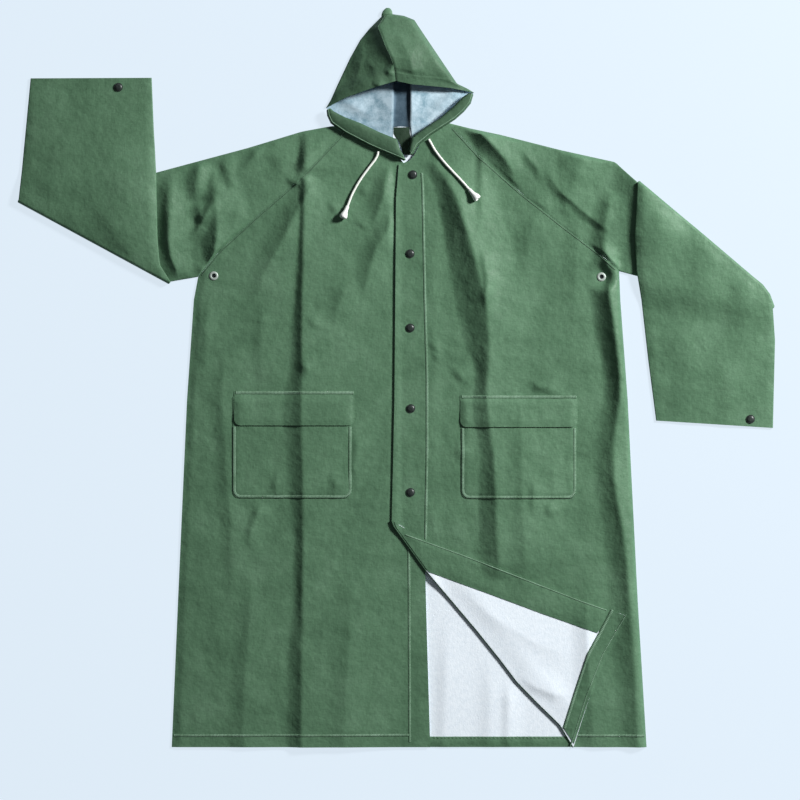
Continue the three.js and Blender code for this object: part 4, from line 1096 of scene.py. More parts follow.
# Left, right, top and bottom of each, in millimetres
POCKETS = {
    "right": {"pocket": (-310, -84, -36, -228), "flap": (-307, -78, -25, -90)},
    "left": {"pocket": (124, 342, -41, -229), "flap": (122, 345, -33, -93)},
}
FACING_OUTLINE = [(-3, -273.5), (57, -309)] + CORNER_FRONT_EDGE[1:-1] + [(405, -441)]
FACING_OUTLINE += FACING_INNER + [(1, -284)]
CORNER_HEM_OUTLINE = CORNER_HEM_INNER[:1] + CORNER_HEM_EDGE[:-1] + [(338, -694)]
CORNER_HEM_OUTLINE += CORNER_HEM_INNER[:0:-1]
BACK_HEM_TOP = HEM_Y + BACK_HEM_WIDTH
BACK_HEM_OUTLINE = [(40, HEM_Y), (345, HEM_Y), (345, BACK_HEM_TOP), (40, BACK_HEM_TOP)]


def rounded_box(x_low, x_high, top, bottom):
    """Outline of a pocket, with its two lower corners rounded."""
    c = POCKET_CORNER
    points = [(x_low, top)]
    for start, centre_x in ((math.pi, x_low + c), (math.pi * 1.5, x_high - c)):
        for k in range(ROUND_STEPS + 1):
            angle = start + math.pi / 2 * k / ROUND_STEPS
            points.append((centre_x + c * math.cos(angle), bottom + c + c * math.sin(angle)))
    return points + [(x_high, top)]


def rise_inside(outline, x, y):
    """How far a flat piece stands up: nothing at its edge and outside, all of it within."""
    distance = nearest(closed_path(outline), x, y)[0]
    return np.where(inside(outline, x, y), smooth(distance / PLY_SLOPE), 0.0)


def laid_top(outline, under, swell=0.0):
    """Top of a piece that lies on a surface. Its edge is pressed down, its middle stands up."""
    def top(x, y):
        return under(x, y) + THIN - EDGE_PRESS + (PLY_RISE + swell) * rise_inside(outline, x, y)

    return top


def laid_on(name, node, outline, under, swell=0.0, inner=white_side):
    x, y, faces = place_in_plan(outline, LAID_SPACING)
    points = lift(x, y, laid_top(outline, under, swell)(x, y))
    add_cloth(name, node, points, faces, coated, inner, thickness=THIN)


def on_panel(side, layers):
    return lambda x, y: PANEL_UNDER[side](x, y) + LAYER * layers


def flap_surface(side, pocket_outline, bottom):
    """Underside of a flap, on its pocket and panel. Its free lower edge stands off a little."""
    pocket_top = laid_top(pocket_outline, on_panel(side, 1), POCKET_SWELL)

    def under(x, y):
        over_pocket = np.where(inside(pocket_outline, x, y), pocket_top(x, y) + GAP, 0.0)
        free = FLAP_LIFT * (1 - smooth((y - bottom) / FLAP_FREE))
        return np.maximum(on_panel(side, 1)(x, y), over_pocket) + free

    return under


def on_corner(x, y):
    return corner_under(x, y) + LAYER


def back_hem_under(x, y):
    return back_top(x, y) + GAP


for side, boxes in POCKETS.items():
    bag = rounded_box(*boxes["pocket"])
    laid_on(f"pocket_bag_{side}", f"pocket_{side}", bag, on_panel(side, 1), swell=POCKET_SWELL)
    flap_under = flap_surface(side, bag, boxes["flap"][3])
    cover = rounded_box(*boxes["flap"])
    laid_on(f"pocket_cover_{side}", f"pocket_flap_{side}", cover, flap_under)
laid_on("facing_strip", "front_facing", FACING_OUTLINE, on_corner, inner=coated)
laid_on("corner_hem_strip", "corner_hem", CORNER_HEM_OUTLINE, on_corner)
laid_on("back_hem_strip", "back_hem", BACK_HEM_OUTLINE, back_hem_under)

# %% [markdown]
# ## Sleeves
#
# A sleeve that lies flat is a squashed tube. It is lofted from rings: across the arm from the
# seam to the elbow, round the elbow's fold, and back over the arm along the forearm, which
# ends on the floor beside it. Each ring has a flat lower side, two rolled edges and a top that
# carries the creases. A cylinder with joints at the elbow would keep its round section, which
# limp cloth hasn't.

# %% Sleeve tables
FOLD_HALF = 2.1
ELBOW_CENTRE = 6.0
DROP_WIDTH = 60.0
ARM_SWELL = 2.0
FORE_SWELL = 3.0

SLEEVES = {
    "right": {
        "seam": SEAM_RIGHT, "shift": -SEAM_HALF, "outward": (-0.477, -0.879),
        "fold": path_of([(-428, 183), (-572, 261), (-716, 339)]),
        "underarm": path_of([(-376, 192), (-428, 183)]),
        "shoulder": path_of([
            (-84, 482), (-125, 478), (-179, 468), (-281, 437), (-378, 411), (-456, 390),
            (-716, 339),
        ]),
        "fore_lower": path_of([
            (-428, 183), (-448, 215), (-452, 262), (-455, 390), (-460, 471), (-464, 570),
        ]),
        "fore_upper": path_of([(-716, 339), (-694, 569)]),
        "drop": ((-456, 390), (-716, 339)),
        "fullness": {"x": -470.0, "y": 300.0, "across": 110.0, "along": 120.0, "rise": 0.4},
    },
    "left": {
        "seam": SEAM_LEFT, "shift": SEAM_HALF, "outward": (0.675, 0.738),
        "fold": path_of([(715, 131), (702, 166), (686, 178), (572, 275), (457, 370)]),
        "underarm": path_of([(423, 203), (456, 194), (715, 131)]),
        "shoulder": path_of([
            (101, 484), (141, 474), (198, 462), (312, 433), (416, 410), (457, 370),
        ]),
        "fore_lower": path_of([(715, 131), (720, 72), (716, -95)]),
        "fore_upper": path_of([
            (457, 370), (452, 272), (456, 205), (466, 148), (479, 34), (494, -81),
        ]),
        "drop": ((715, 131), (456, 194)),
        "fullness": {"x": 462.0, "y": 345.0, "across": 90.0, "along": 160.0, "rise": 1.4},
    },
}

ARM_CREASES = {
    "right": [
        # Hanging folds below the shoulder edge
        seen([
            (200, 157, 2, 6, 6), (199.5, 168, 5, 8, 7), (197.5, 180, 7, 13, 8),
            (196.5, 189, 6.5, 12, 8),
            (196, 197, 3, 8, 7), (196, 202, 0, 5, 6),
        ]),
        seen([
            (214, 169, 0, 3, 6), (214.5, 180, 4, 5, 10), (215, 192, 6, 9, 12),
            (216, 203, 7, 14, 14),
            (217, 215, 7.5, 17, 14), (217.5, 228, 8, 18, 13), (217, 240, 8, 17, 12),
            (215, 250, 7, 13, 10), (212, 260, 4, 9, 9), (208, 266, 0, 6, 7),
        ]),
        seen([(199, 200, 0, 5, 5), (199, 208, 4, 10, 6), (200, 216, 4, 9, 6), (200, 224, 0, 5, 5)]),
        # Slanting ridge across them
        seen([
            (216, 198, 0, 4, 4), (211, 207, 3, 5, 4), (204, 219, 3.5, 5, 4), (197, 231, 2.5, 5, 4),
            (190, 241, 0, 4, 4),
        ]),
        seen([
            (222, 157, 0, 4, 6), (225, 166, 3.5, 5, 8), (229, 176, 4, 6, 9), (232, 184, 2.5, 5, 8),
            (234, 190, 0, 4, 6),
        ]),
        seen([
            (258, 146, 2, 5, 6), (257, 154, 4, 8, 8), (250, 163, 4, 8, 9), (243, 171, 2.5, 6, 9),
            (237, 178, 0, 5, 8),
        ]),
        seen([
            (272, 144, 2, 8, 8), (273, 152, 2.6, 10, 10), (280, 164, 2, 10, 12),
            (286, 172, 0, 8, 10),
        ]),
        # Roll beside the forearm
        seen([
            (172, 174, 2, 10, 9), (170, 190, 5, 10, 10), (169.5, 215, 6, 10, 12),
            (169, 240, 6, 9, 12),
            (171, 256, 5, 9, 9), (176, 268, 5, 10, 8), (179, 280, 2, 9, 7),
        ]),
        # Pressed line that goes on over the sleeve
        seen([
            (305.5, 126, 2, 3, 10), (305.5, 145, 3, 4, 12), (305.5, 160, 4, 6, 12),
            (305, 172, 3, 8, 12),
            (305, 180, 0, 6, 10),
        ]),
        # Broad soft folds
        seen([
            (240, 196, 0, 12, 14), (238, 214, 2.5, 14, 16), (233, 232, 2, 14, 14),
            (230, 246, 0, 10, 10),
        ]),
        seen([(330, 132, 0, 10, 14), (322, 146, 2, 12, 14), (312, 158, 0, 10, 12)]),
        seen([(204, 262, 0, 6, 6), (202, 270, 2.4, 7, 6), (200, 278, 0, 6, 6)]),
    ],
    "left": [
        # Deep slant from the neck along the shoulder
        seen([
            (470, 124, 5, 8, 8), (477, 130, 8, 9, 10), (487, 140, 9.5, 11, 12),
            (497, 150, 9.5, 12, 14),
            (506, 161, 8, 12, 14), (511, 170, 5, 10, 12), (514, 182, 2, 9, 10), (516, 192, 0, 7, 8),
        ]),
        seen([
            (520, 146, 0, 4, 8), (528, 158, 2.4, 5, 9), (537, 168, 3, 5, 10), (541, 182, 0, 4, 8),
        ]),
        seen([
            (549, 168, 0, 5, 6), (552, 180, 2.6, 6, 7), (560, 192, 3.4, 6, 8),
            (572, 202, 3.4, 6, 8),
            (586, 214, 3, 6, 8), (600, 225, 2.4, 5, 8), (609, 231, 0, 4, 6),
        ]),
        # Broad fold in the middle of the arm
        seen([
            (580, 148, 3, 16, 14), (580, 160, 5.5, 17, 16), (577, 175, 5, 15, 16),
            (575, 192, 3, 12, 14),
            (572, 206, 0, 10, 12),
        ], bow=0.85),
        # Fold that hangs from the elbow to the armpit
        seen([
            (612, 190, 0, 8, 8), (608, 204, 4, 11, 9), (605, 220, 6, 13, 10),
            (603, 236, 6.5, 13, 11),
            (604, 248, 5.5, 12, 11), (608, 258, 2.5, 9, 9), (612, 266, 0, 6, 7),
        ]),
        # Slope up to the folded forearm
        seen([
            (633, 158, 1.8, 20, 2), (637, 180, 3, 23, 2), (637.5, 200, 3, 21, 2),
            (637, 220, 2.6, 17, 2),
            (635.5, 240, 2, 13, 2), (635, 260, 1.4, 9, 2), (635, 276, 1, 7, 2),
        ]),
        seen([(528, 200, 0, 9, 10), (534, 210, 2, 10, 10), (540, 222, 0, 8, 8)]),
        seen([(560, 196, 0, 8, 6), (566, 208, 2.2, 9, 6), (572, 218, 0, 7, 6)]),
        seen([
            (596, 258, 0, 4, 4), (606, 262, 2, 4, 3), (614, 266, 2.5, 4, 3), (620, 270, 0, 3, 3),
        ]),
    ],
}
FORE_CREASES = {
    "right": [
        # Soft folds of the forearm
        seen([
            (118, 110, 0, 14, 20), (112, 150, 2.2, 18, 24), (120, 190, 2, 18, 24),
            (128, 225, 0, 14, 18),
        ]),
        seen([(62, 120, 0, 12, 18), (60, 160, 2.2, 15, 20), (70, 200, 0, 12, 16)]),
        seen([
            (92, 190, 0, 10, 14), (104, 215, 2.4, 13, 15), (120, 240, 2, 12, 14),
            (134, 262, 0, 9, 10),
        ]),
        # Raised fold along its inner edge
        seen([
            (154, 84, 1, 3, 5), (155, 120, 2, 3, 6), (156, 170, 3, 4, 7), (158, 220, 3.5, 4, 7),
            (160, 250, 2, 4, 6), (163, 268, 0, 3, 5),
        ]),
        seen([(40, 170, 0, 10, 12), (52, 190, 2, 11, 12), (66, 204, 0, 9, 10)]),
    ],
    "left": [
        # Soft folds of the forearm
        seen([
            (676, 205, 0, 10, 14), (668, 222, 3.4, 13, 16), (660, 240, 3.4, 13, 15),
            (653, 262, 2, 11, 13), (652, 290, 0, 9, 10),
        ]),
        seen([
            (712, 232, 0, 11, 14), (706, 252, 3, 13, 16), (702, 280, 2.6, 13, 16),
            (700, 310, 1.8, 12, 14), (700, 345, 0, 10, 12),
        ]),
        seen([
            (746, 265, 0, 10, 12), (741, 292, 2.8, 12, 13), (740, 330, 2.4, 12, 14),
            (744, 370, 0, 10, 12),
        ]),
        seen([
            (676, 300, 0, 10, 14), (680, 340, 2.2, 12, 16), (684, 385, 1.6, 12, 16),
            (684, 418, 1, 12, 16),
        ]),
        seen([(722, 340, 0, 9, 12), (724, 380, 2, 11, 14), (722, 420, 1.4, 11, 14)]),
    ],
}

for side in SLEEVES:
    print(f"sleeve {side}: {len(ARM_CREASES[side])} creases, forearm {len(FORE_CREASES[side])}")

# %% [markdown]
# All rings of a sleeve have the same number of points, so that neighbours can be joined by
# quads. The rings are even along the arm and closer round the elbow. At the seam the sleeve's
# top starts at the height of the front, and it swells a little in between.

# %% Rings of a flattened tube
ARM_RINGS = 84
FORE_RINGS = 56
TOP_POINTS = 76
UNDER_POINTS = 16
EDGE_POINTS = 5
BEND_STEPS = 9
TIP_CALM = 14.0
# Shares of a sleeve's length over which its creases and its step at the seam fade
RING_CALM = 0.05
FORE_CALM = 0.06
SEAM_STEP = 1 / 3
BOW_ACROSS = 0.7
STEP_BOW = 0.3
ARM_BOW = 0.6
FORE_BOW = 0.7
FORE_REACH = 1.1


def ring_profile(width):
    """Places across a flattened tube, heights over its lower side, and marks of its sides."""
    e = FOLD_HALF
    under = np.linspace(e, width - e, UNDER_POINTS)
    top = np.linspace(width - e, e, TOP_POINTS)
    angles = np.linspace(-90, 90, EDGE_POINTS + 2)[1:-1]
    far = width - e + e * np.cos(np.radians(angles))
    near = e - e * np.cos(np.radians(angles[::-1]))
    far_z = e + e * np.sin(np.radians(angles))
    near_z = e + e * np.sin(np.radians(angles[::-1]))
    at = np.concatenate([under, far, top, near])
    z = np.concatenate([np.zeros(UNDER_POINTS), far_z, np.full(TOP_POINTS, 2 * e), near_z])
    counts = [UNDER_POINTS, EDGE_POINTS, TOP_POINTS, EDGE_POINTS]
    on_under = np.repeat([1.0, 0.0, 0.0, 0.0], counts)
    on_top = np.repeat([0.0, 0.0, 1.0, 0.0], counts)
    calm = smooth(np.minimum(at, width - at) / TIP_CALM)
    return at / width, z, on_top, on_under, calm


def swell_shape(share):
    return np.sin(np.pi * np.clip(share, 0, 1)) ** BOW_ACROSS


# %% Loft the sleeves
def off_chord(path, share):
    """How far a bent path departs from the straight line between its ends."""
    point = along(path, share)
    return (
        point["x"] - mix(path["x"][0], path["x"][-1], share),
        point["y"] - mix(path["y"][0], path["y"][-1], share),
    )


def fade_in(share, reach):
    return smooth(share / reach)


def make_sleeve(side, facts):
    """A sleeve from its rings: the arm, round the elbow, and the forearm on top of it."""
    rings = []
    seam = {"x": facts["seam"]["x"] + facts["shift"], "y": facts["seam"]["y"]}
    fold = facts["fold"]
    front = PANEL_UNDER[side]
    (from_x, from_y), (to_x, to_y) = facts["drop"]
    run_x, run_y = to_x - from_x, to_y - from_y

    def cross(x, y):
        return (run_x * (y - from_y) - run_y * (x - from_x)) / math.hypot(run_x, run_y)

    middle = along(seam, 0.5)
    sign = -1.0 if cross(middle["x"], middle["y"]) > 0 else 1.0
    for station in np.linspace(0, 1, ARM_RINGS):
        low, high = along(facts["underarm"], station), along(facts["shoulder"], station)
        if station == 0:
            low, high = along(seam, 0.0), along(seam, 1.0)
        width = math.hypot(high["x"] - low["x"], high["y"] - low["y"])
        share, z, on_top, _, calm = ring_profile(width)
        seam_dx, seam_dy = off_chord(seam, share)
        fold_dx, fold_dy = off_chord(fold, share)
        x = mix(low["x"], high["x"], share) + mix(seam_dx, fold_dx, station)
        y = mix(low["y"], high["y"], share) + mix(seam_dy, fold_dy, station)
        seam_top = front(x, y) + CLOTH - 2 * FOLD_HALF
        fade = 1 - fade_in(station, SEAM_STEP)
        step = np.maximum(seam_top, 0) * fade * swell_shape(share) ** STEP_BOW
        swell = ARM_SWELL * swell_shape(share) * math.sin(math.pi * station) ** ARM_BOW
        away = fade_in(station, RING_CALM) * fade_in(1 - station, RING_CALM)
        creases = crease_height(ARM_CREASES[side], x, y) * calm * away
        rings.append(lift(x, y, z + on_top * (step + swell + creases)))
    width = math.hypot(fold["x"][-1] - fold["x"][0], fold["y"][-1] - fold["y"][0])
    share, z, _, _, _ = ring_profile(width)
    at = along(fold, share)
    out_x, out_y = facts["outward"]
    for k in range(1, BEND_STEPS + 1):
        angle = math.pi * k / (BEND_STEPS + 1)
        radius = ELBOW_CENTRE - z
        rings.append(lift(
            at["x"] + out_x * radius * math.sin(angle),
            at["y"] + out_y * radius * math.sin(angle),
            ELBOW_CENTRE - radius * math.cos(angle),
        ))
    for station in np.linspace(0, 1, FORE_RINGS):
        low, high = along(facts["fore_lower"], station), along(facts["fore_upper"], station)
        width = math.hypot(high["x"] - low["x"], high["y"] - low["y"])
        share, z, _, on_under, calm = ring_profile(width)
        fold_dx, fold_dy = off_chord(fold, share)
        fade = (1 - station) ** 2
        x = mix(low["x"], high["x"], share) + fold_dx * fade
        y = mix(low["y"], high["y"], share) + fold_dy * fade
        beyond = sign * cross(x, y)
        drop = 2 * (ELBOW_CENTRE - FOLD_HALF) * smooth(beyond / DROP_WIDTH)
        bulge = math.sin(math.pi * min(station * FORE_REACH, 1)) ** FORE_BOW
        swell = FORE_SWELL * swell_shape(share) * bulge
        creases = crease_height(FORE_CREASES[side], x, y) * calm * fade_in(station, FORE_CALM)
        height = 2 * ELBOW_CENTRE - z - drop + on_under * (swell + creases)
        rings.append(lift(x, y, height))
    full = facts["fullness"]
    for ring in rings:
        away_x = (ring[:, 0] - full["x"]) / full["across"]
        away_y = (ring[:, 1] - full["y"]) / full["along"]
        ring[:, 2] *= 1 + full["rise"] * smooth(1 - np.hypot(away_x, away_y))
    points = len(rings[0])
    faces = grid_faces(len(rings), points, closed=True)
    if side == "right":
        faces = [face[::-1] for face in faces]
    name = f"sleeve_tube_{side}"
    piece = add_cloth(name, f"sleeve_{side}", np.concatenate(rings), faces, coated, white_side)
    top_face = (ARM_RINGS // 2) * points + UNDER_POINTS + EDGE_POINTS + TOP_POINTS // 2
    print(name, "top faces up:", piece.data.polygons[top_face].normal.z > 0)


for side, facts in SLEEVES.items():
    make_sleeve(side, facts)

# %% [markdown]
# ## Hood
#
# The hood lies with its back on the floor and its opening up. Each half is a C in section: the
# crown on top, a rolled outer edge, and a side on the floor whose white side faces up. The
# crown stands up along its middle seam, which makes the dark slope at its left. Two ridges of
# the lining stand along the deep strip in its middle.

# %% Hood tables
HOOD_HALVES = {
    "right": {
        "shift": -0.6,
        "outline": path_of([
            (-133, 513), (-124, 528), (-112, 555), (-87, 608), (-68, 642), (-51, 663), (-28, 686),
        ]),
        "neck": path_of([
            (-133, 513), (-98, 489), (-60, 472), (-30, 458), (-6, 448), (-5, 477), (8, 478),
        ]),
        "rim": path_of([(-133, 513), (-97, 531), (-46, 548), (0, 562)]),
    },
    "left": {
        "shift": 0.2,
        "outline": path_of([
            (148, 542), (135, 550), (116, 559), (42, 669), (35, 680), (15, 688), (-6, 691),
        ]),
        "neck": path_of([
            (148, 542), (104, 496), (68, 474), (46, 460), (31, 450), (29, 477), (8, 478),
        ]),
        "rim": path_of([(148, 542), (103, 550), (30, 556), (0, 562)]),
    },
}
CROWN_SEAM = table("x y height", [
    (0, 562, 24), (-3, 588, 33), (-10, 608, 35), (-19, 626, 31), (-27, 648, 24), (-34, 666, 15),
    (-20, 688, 7),
])
LOWER_SEAM = path_of([(8, 478), (2, 580), (-20, 688)])
NECK_STEP = {"from": 488.0, "to": 480.0, "rise": 1.6}
HOOD_RINGS = 84
HOOD_ACROSS = 60
# Bow of the crown's section at the brim and above it, and the share of it that is a steep wall
CROWN_BOWS = {"right": (1.7, 0.62), "left": (1.25, 1.25)}
BOW_FROM = 0.06
BOW_FADE = 0.2
CROWN_WALLS = {"right": 0.0, "left": 0.5}
WALL_REACH = 3.0
WALL_FADE = 0.3
BRIM_HEM = 15.0
BRIM_HEM_EDGE = 3.0
BRIM_HEM_RISE = 0.9
CROWN_SEAM_DEPTH = 1.2
CROWN_SEAM_HALF = 4.0
# Where the creases of the lining begin and end
LINING_CALM = 20.0
LINING_FROM = 0.25
LINING_FADE = 0.4
LINING_Y = 466.0

CROWN_CREASES = {
    "right": [
        seen([(363, 45, 0, 7, 8), (361, 64, 2.4, 9, 13), (356, 82, 2, 9, 13), (352, 92, 0, 6, 8)]),
        seen([(384, 70, 0, 3, 4), (389, 74, 2.5, 3, 5), (396, 77, 0, 3, 4)]),
        seen([(372, 84, 0, 3, 4), (379, 87, 2.5, 4, 5), (387, 88, 0, 3, 4)]),
        seen([(366, 58, 0, 5, 7), (374, 70, 2, 6, 9), (378, 80, 0, 5, 7)]),
    ],
    "left": [
        seen([
            (397, 31, 0, 7, 10), (407, 52, 2.4, 10, 15), (414, 72, 1.6, 10, 15), (417, 82, 0, 7, 8),
        ]),
        seen([(423, 41, 0, 7, 8), (436, 64, 2, 10, 13), (448, 80, 0, 7, 8)]),
        seen([(401, 70, 0, 4, 5), (412, 72, 1.8, 4, 5), (424, 70, 0, 4, 5)]),
    ],
}
LINING_CREASES = [
    seen([(391, 128, 1, 2, 10), (392, 112, 3, 2, 13), (392.5, 98, 4, 2, 13), (392, 84, 4, 2, 13)]),
    seen([
        (411, 84, 3.6, 2, 13), (411, 98, 3.6, 2, 13), (411, 112, 3.2, 2, 12), (410, 124, 1.5, 2, 9),
    ]),
    seen([(343, 100, 2, 7, 10), (359, 109, 2, 7, 10), (375, 118, 0, 5, 7)]),
    seen([(454, 94, 2, 7, 10), (440, 105, 2.2, 7, 10), (427, 117, 0, 5, 7)]),
]


print("creases of the crown:", sum(len(rows) for rows in CROWN_CREASES.values()))

# %% [markdown]
# A half of the hood is lofted like a sleeve, but its rings stay open at the seam. Near the face
# they bend with the brim and with the line of the neck, and this fades towards the tip.

# %% Loft the halves of the hood
def make_hood_half(side, facts):
    """A half of the hood from rings that run from the crown's seam round the outer edge."""
    e = FOLD_HALF
    corner_x, corner_y = facts["outline"]["x"][0], facts["outline"]["y"][0]
    rows = []
    for share in np.linspace(0, 1, HOOD_RINGS):
        edge, crown = along(facts["outline"], share), along(CROWN_SEAM, share)
        nape = along(LOWER_SEAM, share)
        fade = (1 - share) ** 3

        def place(end, border, u, shift):
            """Places from the outer edge to a seam, which follow a border near the face."""
            bend = along(border, u)
            x = mix(edge["x"], end["x"] + shift, u)
            y = mix(edge["y"], end["y"], u)
            x = x + (bend["x"] - mix(corner_x, border["x"][-1], u)) * fade
            y = y + (bend["y"] - mix(corner_y, border["y"][-1], u)) * fade
            return x, y

        width = math.hypot(crown["x"] - edge["x"], crown["y"] - edge["y"])
        u = np.linspace(1, e / width, HOOD_ACROSS)
        x, y = place(crown, facts["rim"], u, facts["shift"])
        at_brim, above = CROWN_BOWS[side]
        bow = mix(at_brim, above, smooth((share - BOW_FROM) / BOW_FADE))
        wall = CROWN_WALLS[side] * crown["height"] * smooth(share / WALL_FADE)
        arch = wall * (1 - np.exp(-(u * width - e) / WALL_REACH))
        arch = arch + (crown["height"] - wall) * (1 - (1 - u) ** bow)
        calm = smooth(u * width / TIP_CALM)
        from_rim = nearest(facts["rim"], x, y)[0]
        hem = BRIM_HEM_RISE * (1 - smooth((from_rim - BRIM_HEM) / BRIM_HEM_EDGE))
        seam = -CROWN_SEAM_DEPTH * (1 - smooth((1 - u) * width / CROWN_SEAM_HALF))
        top = 2 * e + arch + (crease_height(CROWN_CREASES[side], x, y) + hem) * calm + seam

        angles = np.radians(np.linspace(90, -90, EDGE_POINTS + 2)[1:-1])
        upper = angles > 0
        tip_u = (e - e * np.cos(angles)) / width
        tip_x, tip_y = place(crown, facts["rim"], np.where(upper, tip_u, 0), facts["shift"])
        low_x, low_y = place(nape, facts["neck"], tip_u, 0.0)
        tip_x, tip_y = np.where(upper, tip_x, low_x), np.where(upper, tip_y, low_y)

        v = np.linspace(e / width, 1, HOOD_ACROSS)
        under_x, under_y = place(nape, facts["neck"], v, 0.0)
        calm = smooth(v * width / LINING_CALM) * (1 - smooth((share - LINING_FROM) / LINING_FADE))
        calm = calm * smooth((under_y - LINING_Y) / LINING_CALM)
        drop = (NECK_STEP["from"] - under_y) / (NECK_STEP["from"] - NECK_STEP["to"])
        bumps = crease_height(LINING_CREASES, under_x, under_y) * calm
        rows.append(np.concatenate([
            lift(x, y, top),
            lift(tip_x, tip_y, e + e * np.sin(angles)),
            lift(under_x, under_y, bumps + NECK_STEP["rise"] * smooth(drop)),
        ]))
    faces = grid_faces(len(rows), len(rows[0]))
    if side == "right":
        faces = [face[::-1] for face in faces]
    name = f"hood_half_{side}"
    piece = add_cloth(name, f"hood_{side}", np.concatenate(rows), faces, coated_hood_painted_shade, hood_lining_painted_shade)
    crown_face = (HOOD_RINGS // 2) * (len(rows[0]) - 1) + 5
    print(name, "crown faces up:", piece.data.polygons[crown_face].normal.z > 0)


for side, facts in HOOD_HALVES.items():
    make_hood_half(side, facts)

# %% [markdown]
# ## Cheek bands, neck strip and the rolled tip
#
# A hemmed band runs along each cheek of the hood and carries the drawcord. It stands a little
# higher towards the face. The tip of the crown's seam sticks out above the hood as a small
# rolled tab, which is one strip of cloth wound into a short spiral.

# %% Bands of the hood
BANDS = {
    "right": {
        "base": 5.6,
        "outer": [(-132, 508), (-131, 498), (-124, 483), (-97, 464), (-49, 439), (15, 412)],
        "inner": [
            (19, 414), (8, 433), (2, 453), (-30, 466), (-68, 484), (-97, 495), (-118, 506),
            (-125, 512),
        ],
    },
    "left": {
        "base": 7.1,
        "outer": [(147, 538), (142, 521), (129, 505), (112, 490), (65, 460), (42, 441), (32, 424)],
        "inner": [(25, 430), (29, 456), (46, 469), (84, 494), (106, 513), (125, 532), (137, 540)],
    },
}
BAND_LIFT = 2.5
BAND_THIN = 0.9
BAND_SWELL = 9.0
BAND_FULLNESS = 0.28
BAND_NARROW = 12.0
BAND_SPACING = 2.2
NECK_STRIP = [(-4, 476), (25, 476), (27, 462), (34, 424), (13, 424), (8, 443), (-4, 464)]
TAPE_MIDDLE = 14.0
TAPE_HALF = 16.0
TAPE_BOW = 0.8
TAPE_THIN = 0.9
TAPE_SPACING = 2.6


def band_surface(side):
    outer, inner = path_of(BANDS[side]["outer"]), path_of(BANDS[side]["inner"])

    def top(x, y):
        from_outer, from_inner = nearest(outer, x, y)[0], nearest(inner, x, y)[0]
        share = from_outer / (from_outer + from_inner + 1e-6)
        wide = smooth((from_outer + from_inner) / BAND_NARROW)
        roll = BAND_SWELL * np.clip(4 * share * (1 - share), 0, 1) ** BAND_FULLNESS * wide
        return BANDS[side]["base"] + BAND_THIN + BAND_LIFT * share * wide + roll

    return top


for side, facts in BANDS.items():
    x, y, faces = place_in_plan(facts["outer"] + facts["inner"], BAND_SPACING)
    points = lift(x, y, band_surface(side)(x, y))
    name, node = f"cheek_band_{side}", f"hood_band_{side}"
    add_cloth(name, node, points, faces, coated_band_painted_shade, white_side, thickness=BAND_THIN)

x, y, faces = place_in_plan(NECK_STRIP, TAPE_SPACING)
from_middle = np.clip(np.abs(x - TAPE_MIDDLE) / TAPE_HALF, 0, 1)
tape_top = place_of("neck_strip")[3] - TAPE_BOW * from_middle**2
points = lift(x, y, tape_top)
add_cloth("neck_tape", "neck_strip", points, faces, coated_tape_painted_shade, white_side, thickness=TAPE_THIN)

# %% [markdown]
# The tip is a strip wound by a bit more than one and a half turns, drawn as a flattened spiral
# whose half width and height shrink towards its end.

# %% Rolled tip of the hood
TIP_TURNS = 1.6
TIP_SECTION = 44
TIP_RINGS = 14
TIP_CORE = 0.42
TIP_FLAT = 0.96
TIP_CLEAR = 0.2
TIP_THIN = 0.7
TIP_SHAPE = table("x y half height", [
    (-18, 686, 12, 5), (-18, 691, 11.5, 8), (-17, 697, 9.5, 8), (-16, 701, 6.0, 6),
    (-16, 703, 3.0, 3),
])
turn = np.linspace(0, TIP_TURNS * 2 * math.pi, TIP_SECTION)
shrink = np.linspace(1.0, TIP_CORE, TIP_SECTION)
rings = []
for share in np.linspace(0, 1, TIP_RINGS):
    ring = along(TIP_SHAPE, share)
    x = ring["x"] + ring["half"] * shrink * np.cos(turn)
    z = ring["height"] / 2 * (1 + shrink * np.sin(turn) * TIP_FLAT)
    rings.append(lift(x, np.full(TIP_SECTION, float(ring["y"])), z + TIP_CLEAR))
tip_faces = [face[::-1] for face in grid_faces(TIP_RINGS, TIP_SECTION)]
points = np.concatenate(rings)
add_cloth("rolled_tip", "hood_tip", points, tip_faces, coated, white_side, thickness=TIP_THIN)

# %% [markdown]
# ## Snaps, eyelets, cords and their end bells
#
# Turned metal parts are made as on a lathe, from half a section of radii and heights. The snap
# cap is a shallow dome with a rolled rim, and the eyelet is a closed section round its hole.
# The cord is a tube whose radius swings a little with two crossed spirals, which gives the
# braid. Its end bell is a hollow plastic cone that lies on its flank.

# %% Turned pieces
LATHE_SIDES = 40
SHARP_HARD = 40.0
SNAP_PROFILE = [
    (0, 0), (8.0, 0), (8.3, 0.3), (8.3, 0.9), (8.0, 1.3), (7.5, 1.4), (7.1, 1.25), (6.9, 1.5),
    (6.2, 2.3), (5.0, 2.9), (3.4, 3.25), (1.7, 3.38), (0, 3.4),
]
# Within this radius the eyelet is black, as painted shade in its hole
EYELET_PAINTED_SHADE_BORE = 3.85
# The section ends in a lip that narrows the hole, and in black it hides the white under the eyelet as
# painted shade
EYELET_PROFILE = [
    (1.6, -2.8), (1.6, -2.5), (3.7, -2.3), (3.9, -0.7), (4.4, -0.2), (5.4, 0), (6.9, -0.15),
    (8.2, -0.75), (8.5, -1.05), (8.0, -1.15), (5.0, -1.1), (5.0, -2.8),
]
BELL_PROFILE = [
    (0, 0), (2.9, 0), (3.5, 0.4), (3.6, 1.2), (3.9, 7.0), (4.5, 11.0), (5.9, 15.0), (7.0, 18.0),
    (7.5, 20.6), (7.3, 22.9), (6.5, 24.4), (5.2, 25.0), (4.2, 24.8), (3.8, 24.0), (3.6, 20.0),
    (2.4, 17.0), (0, 16.0),
]


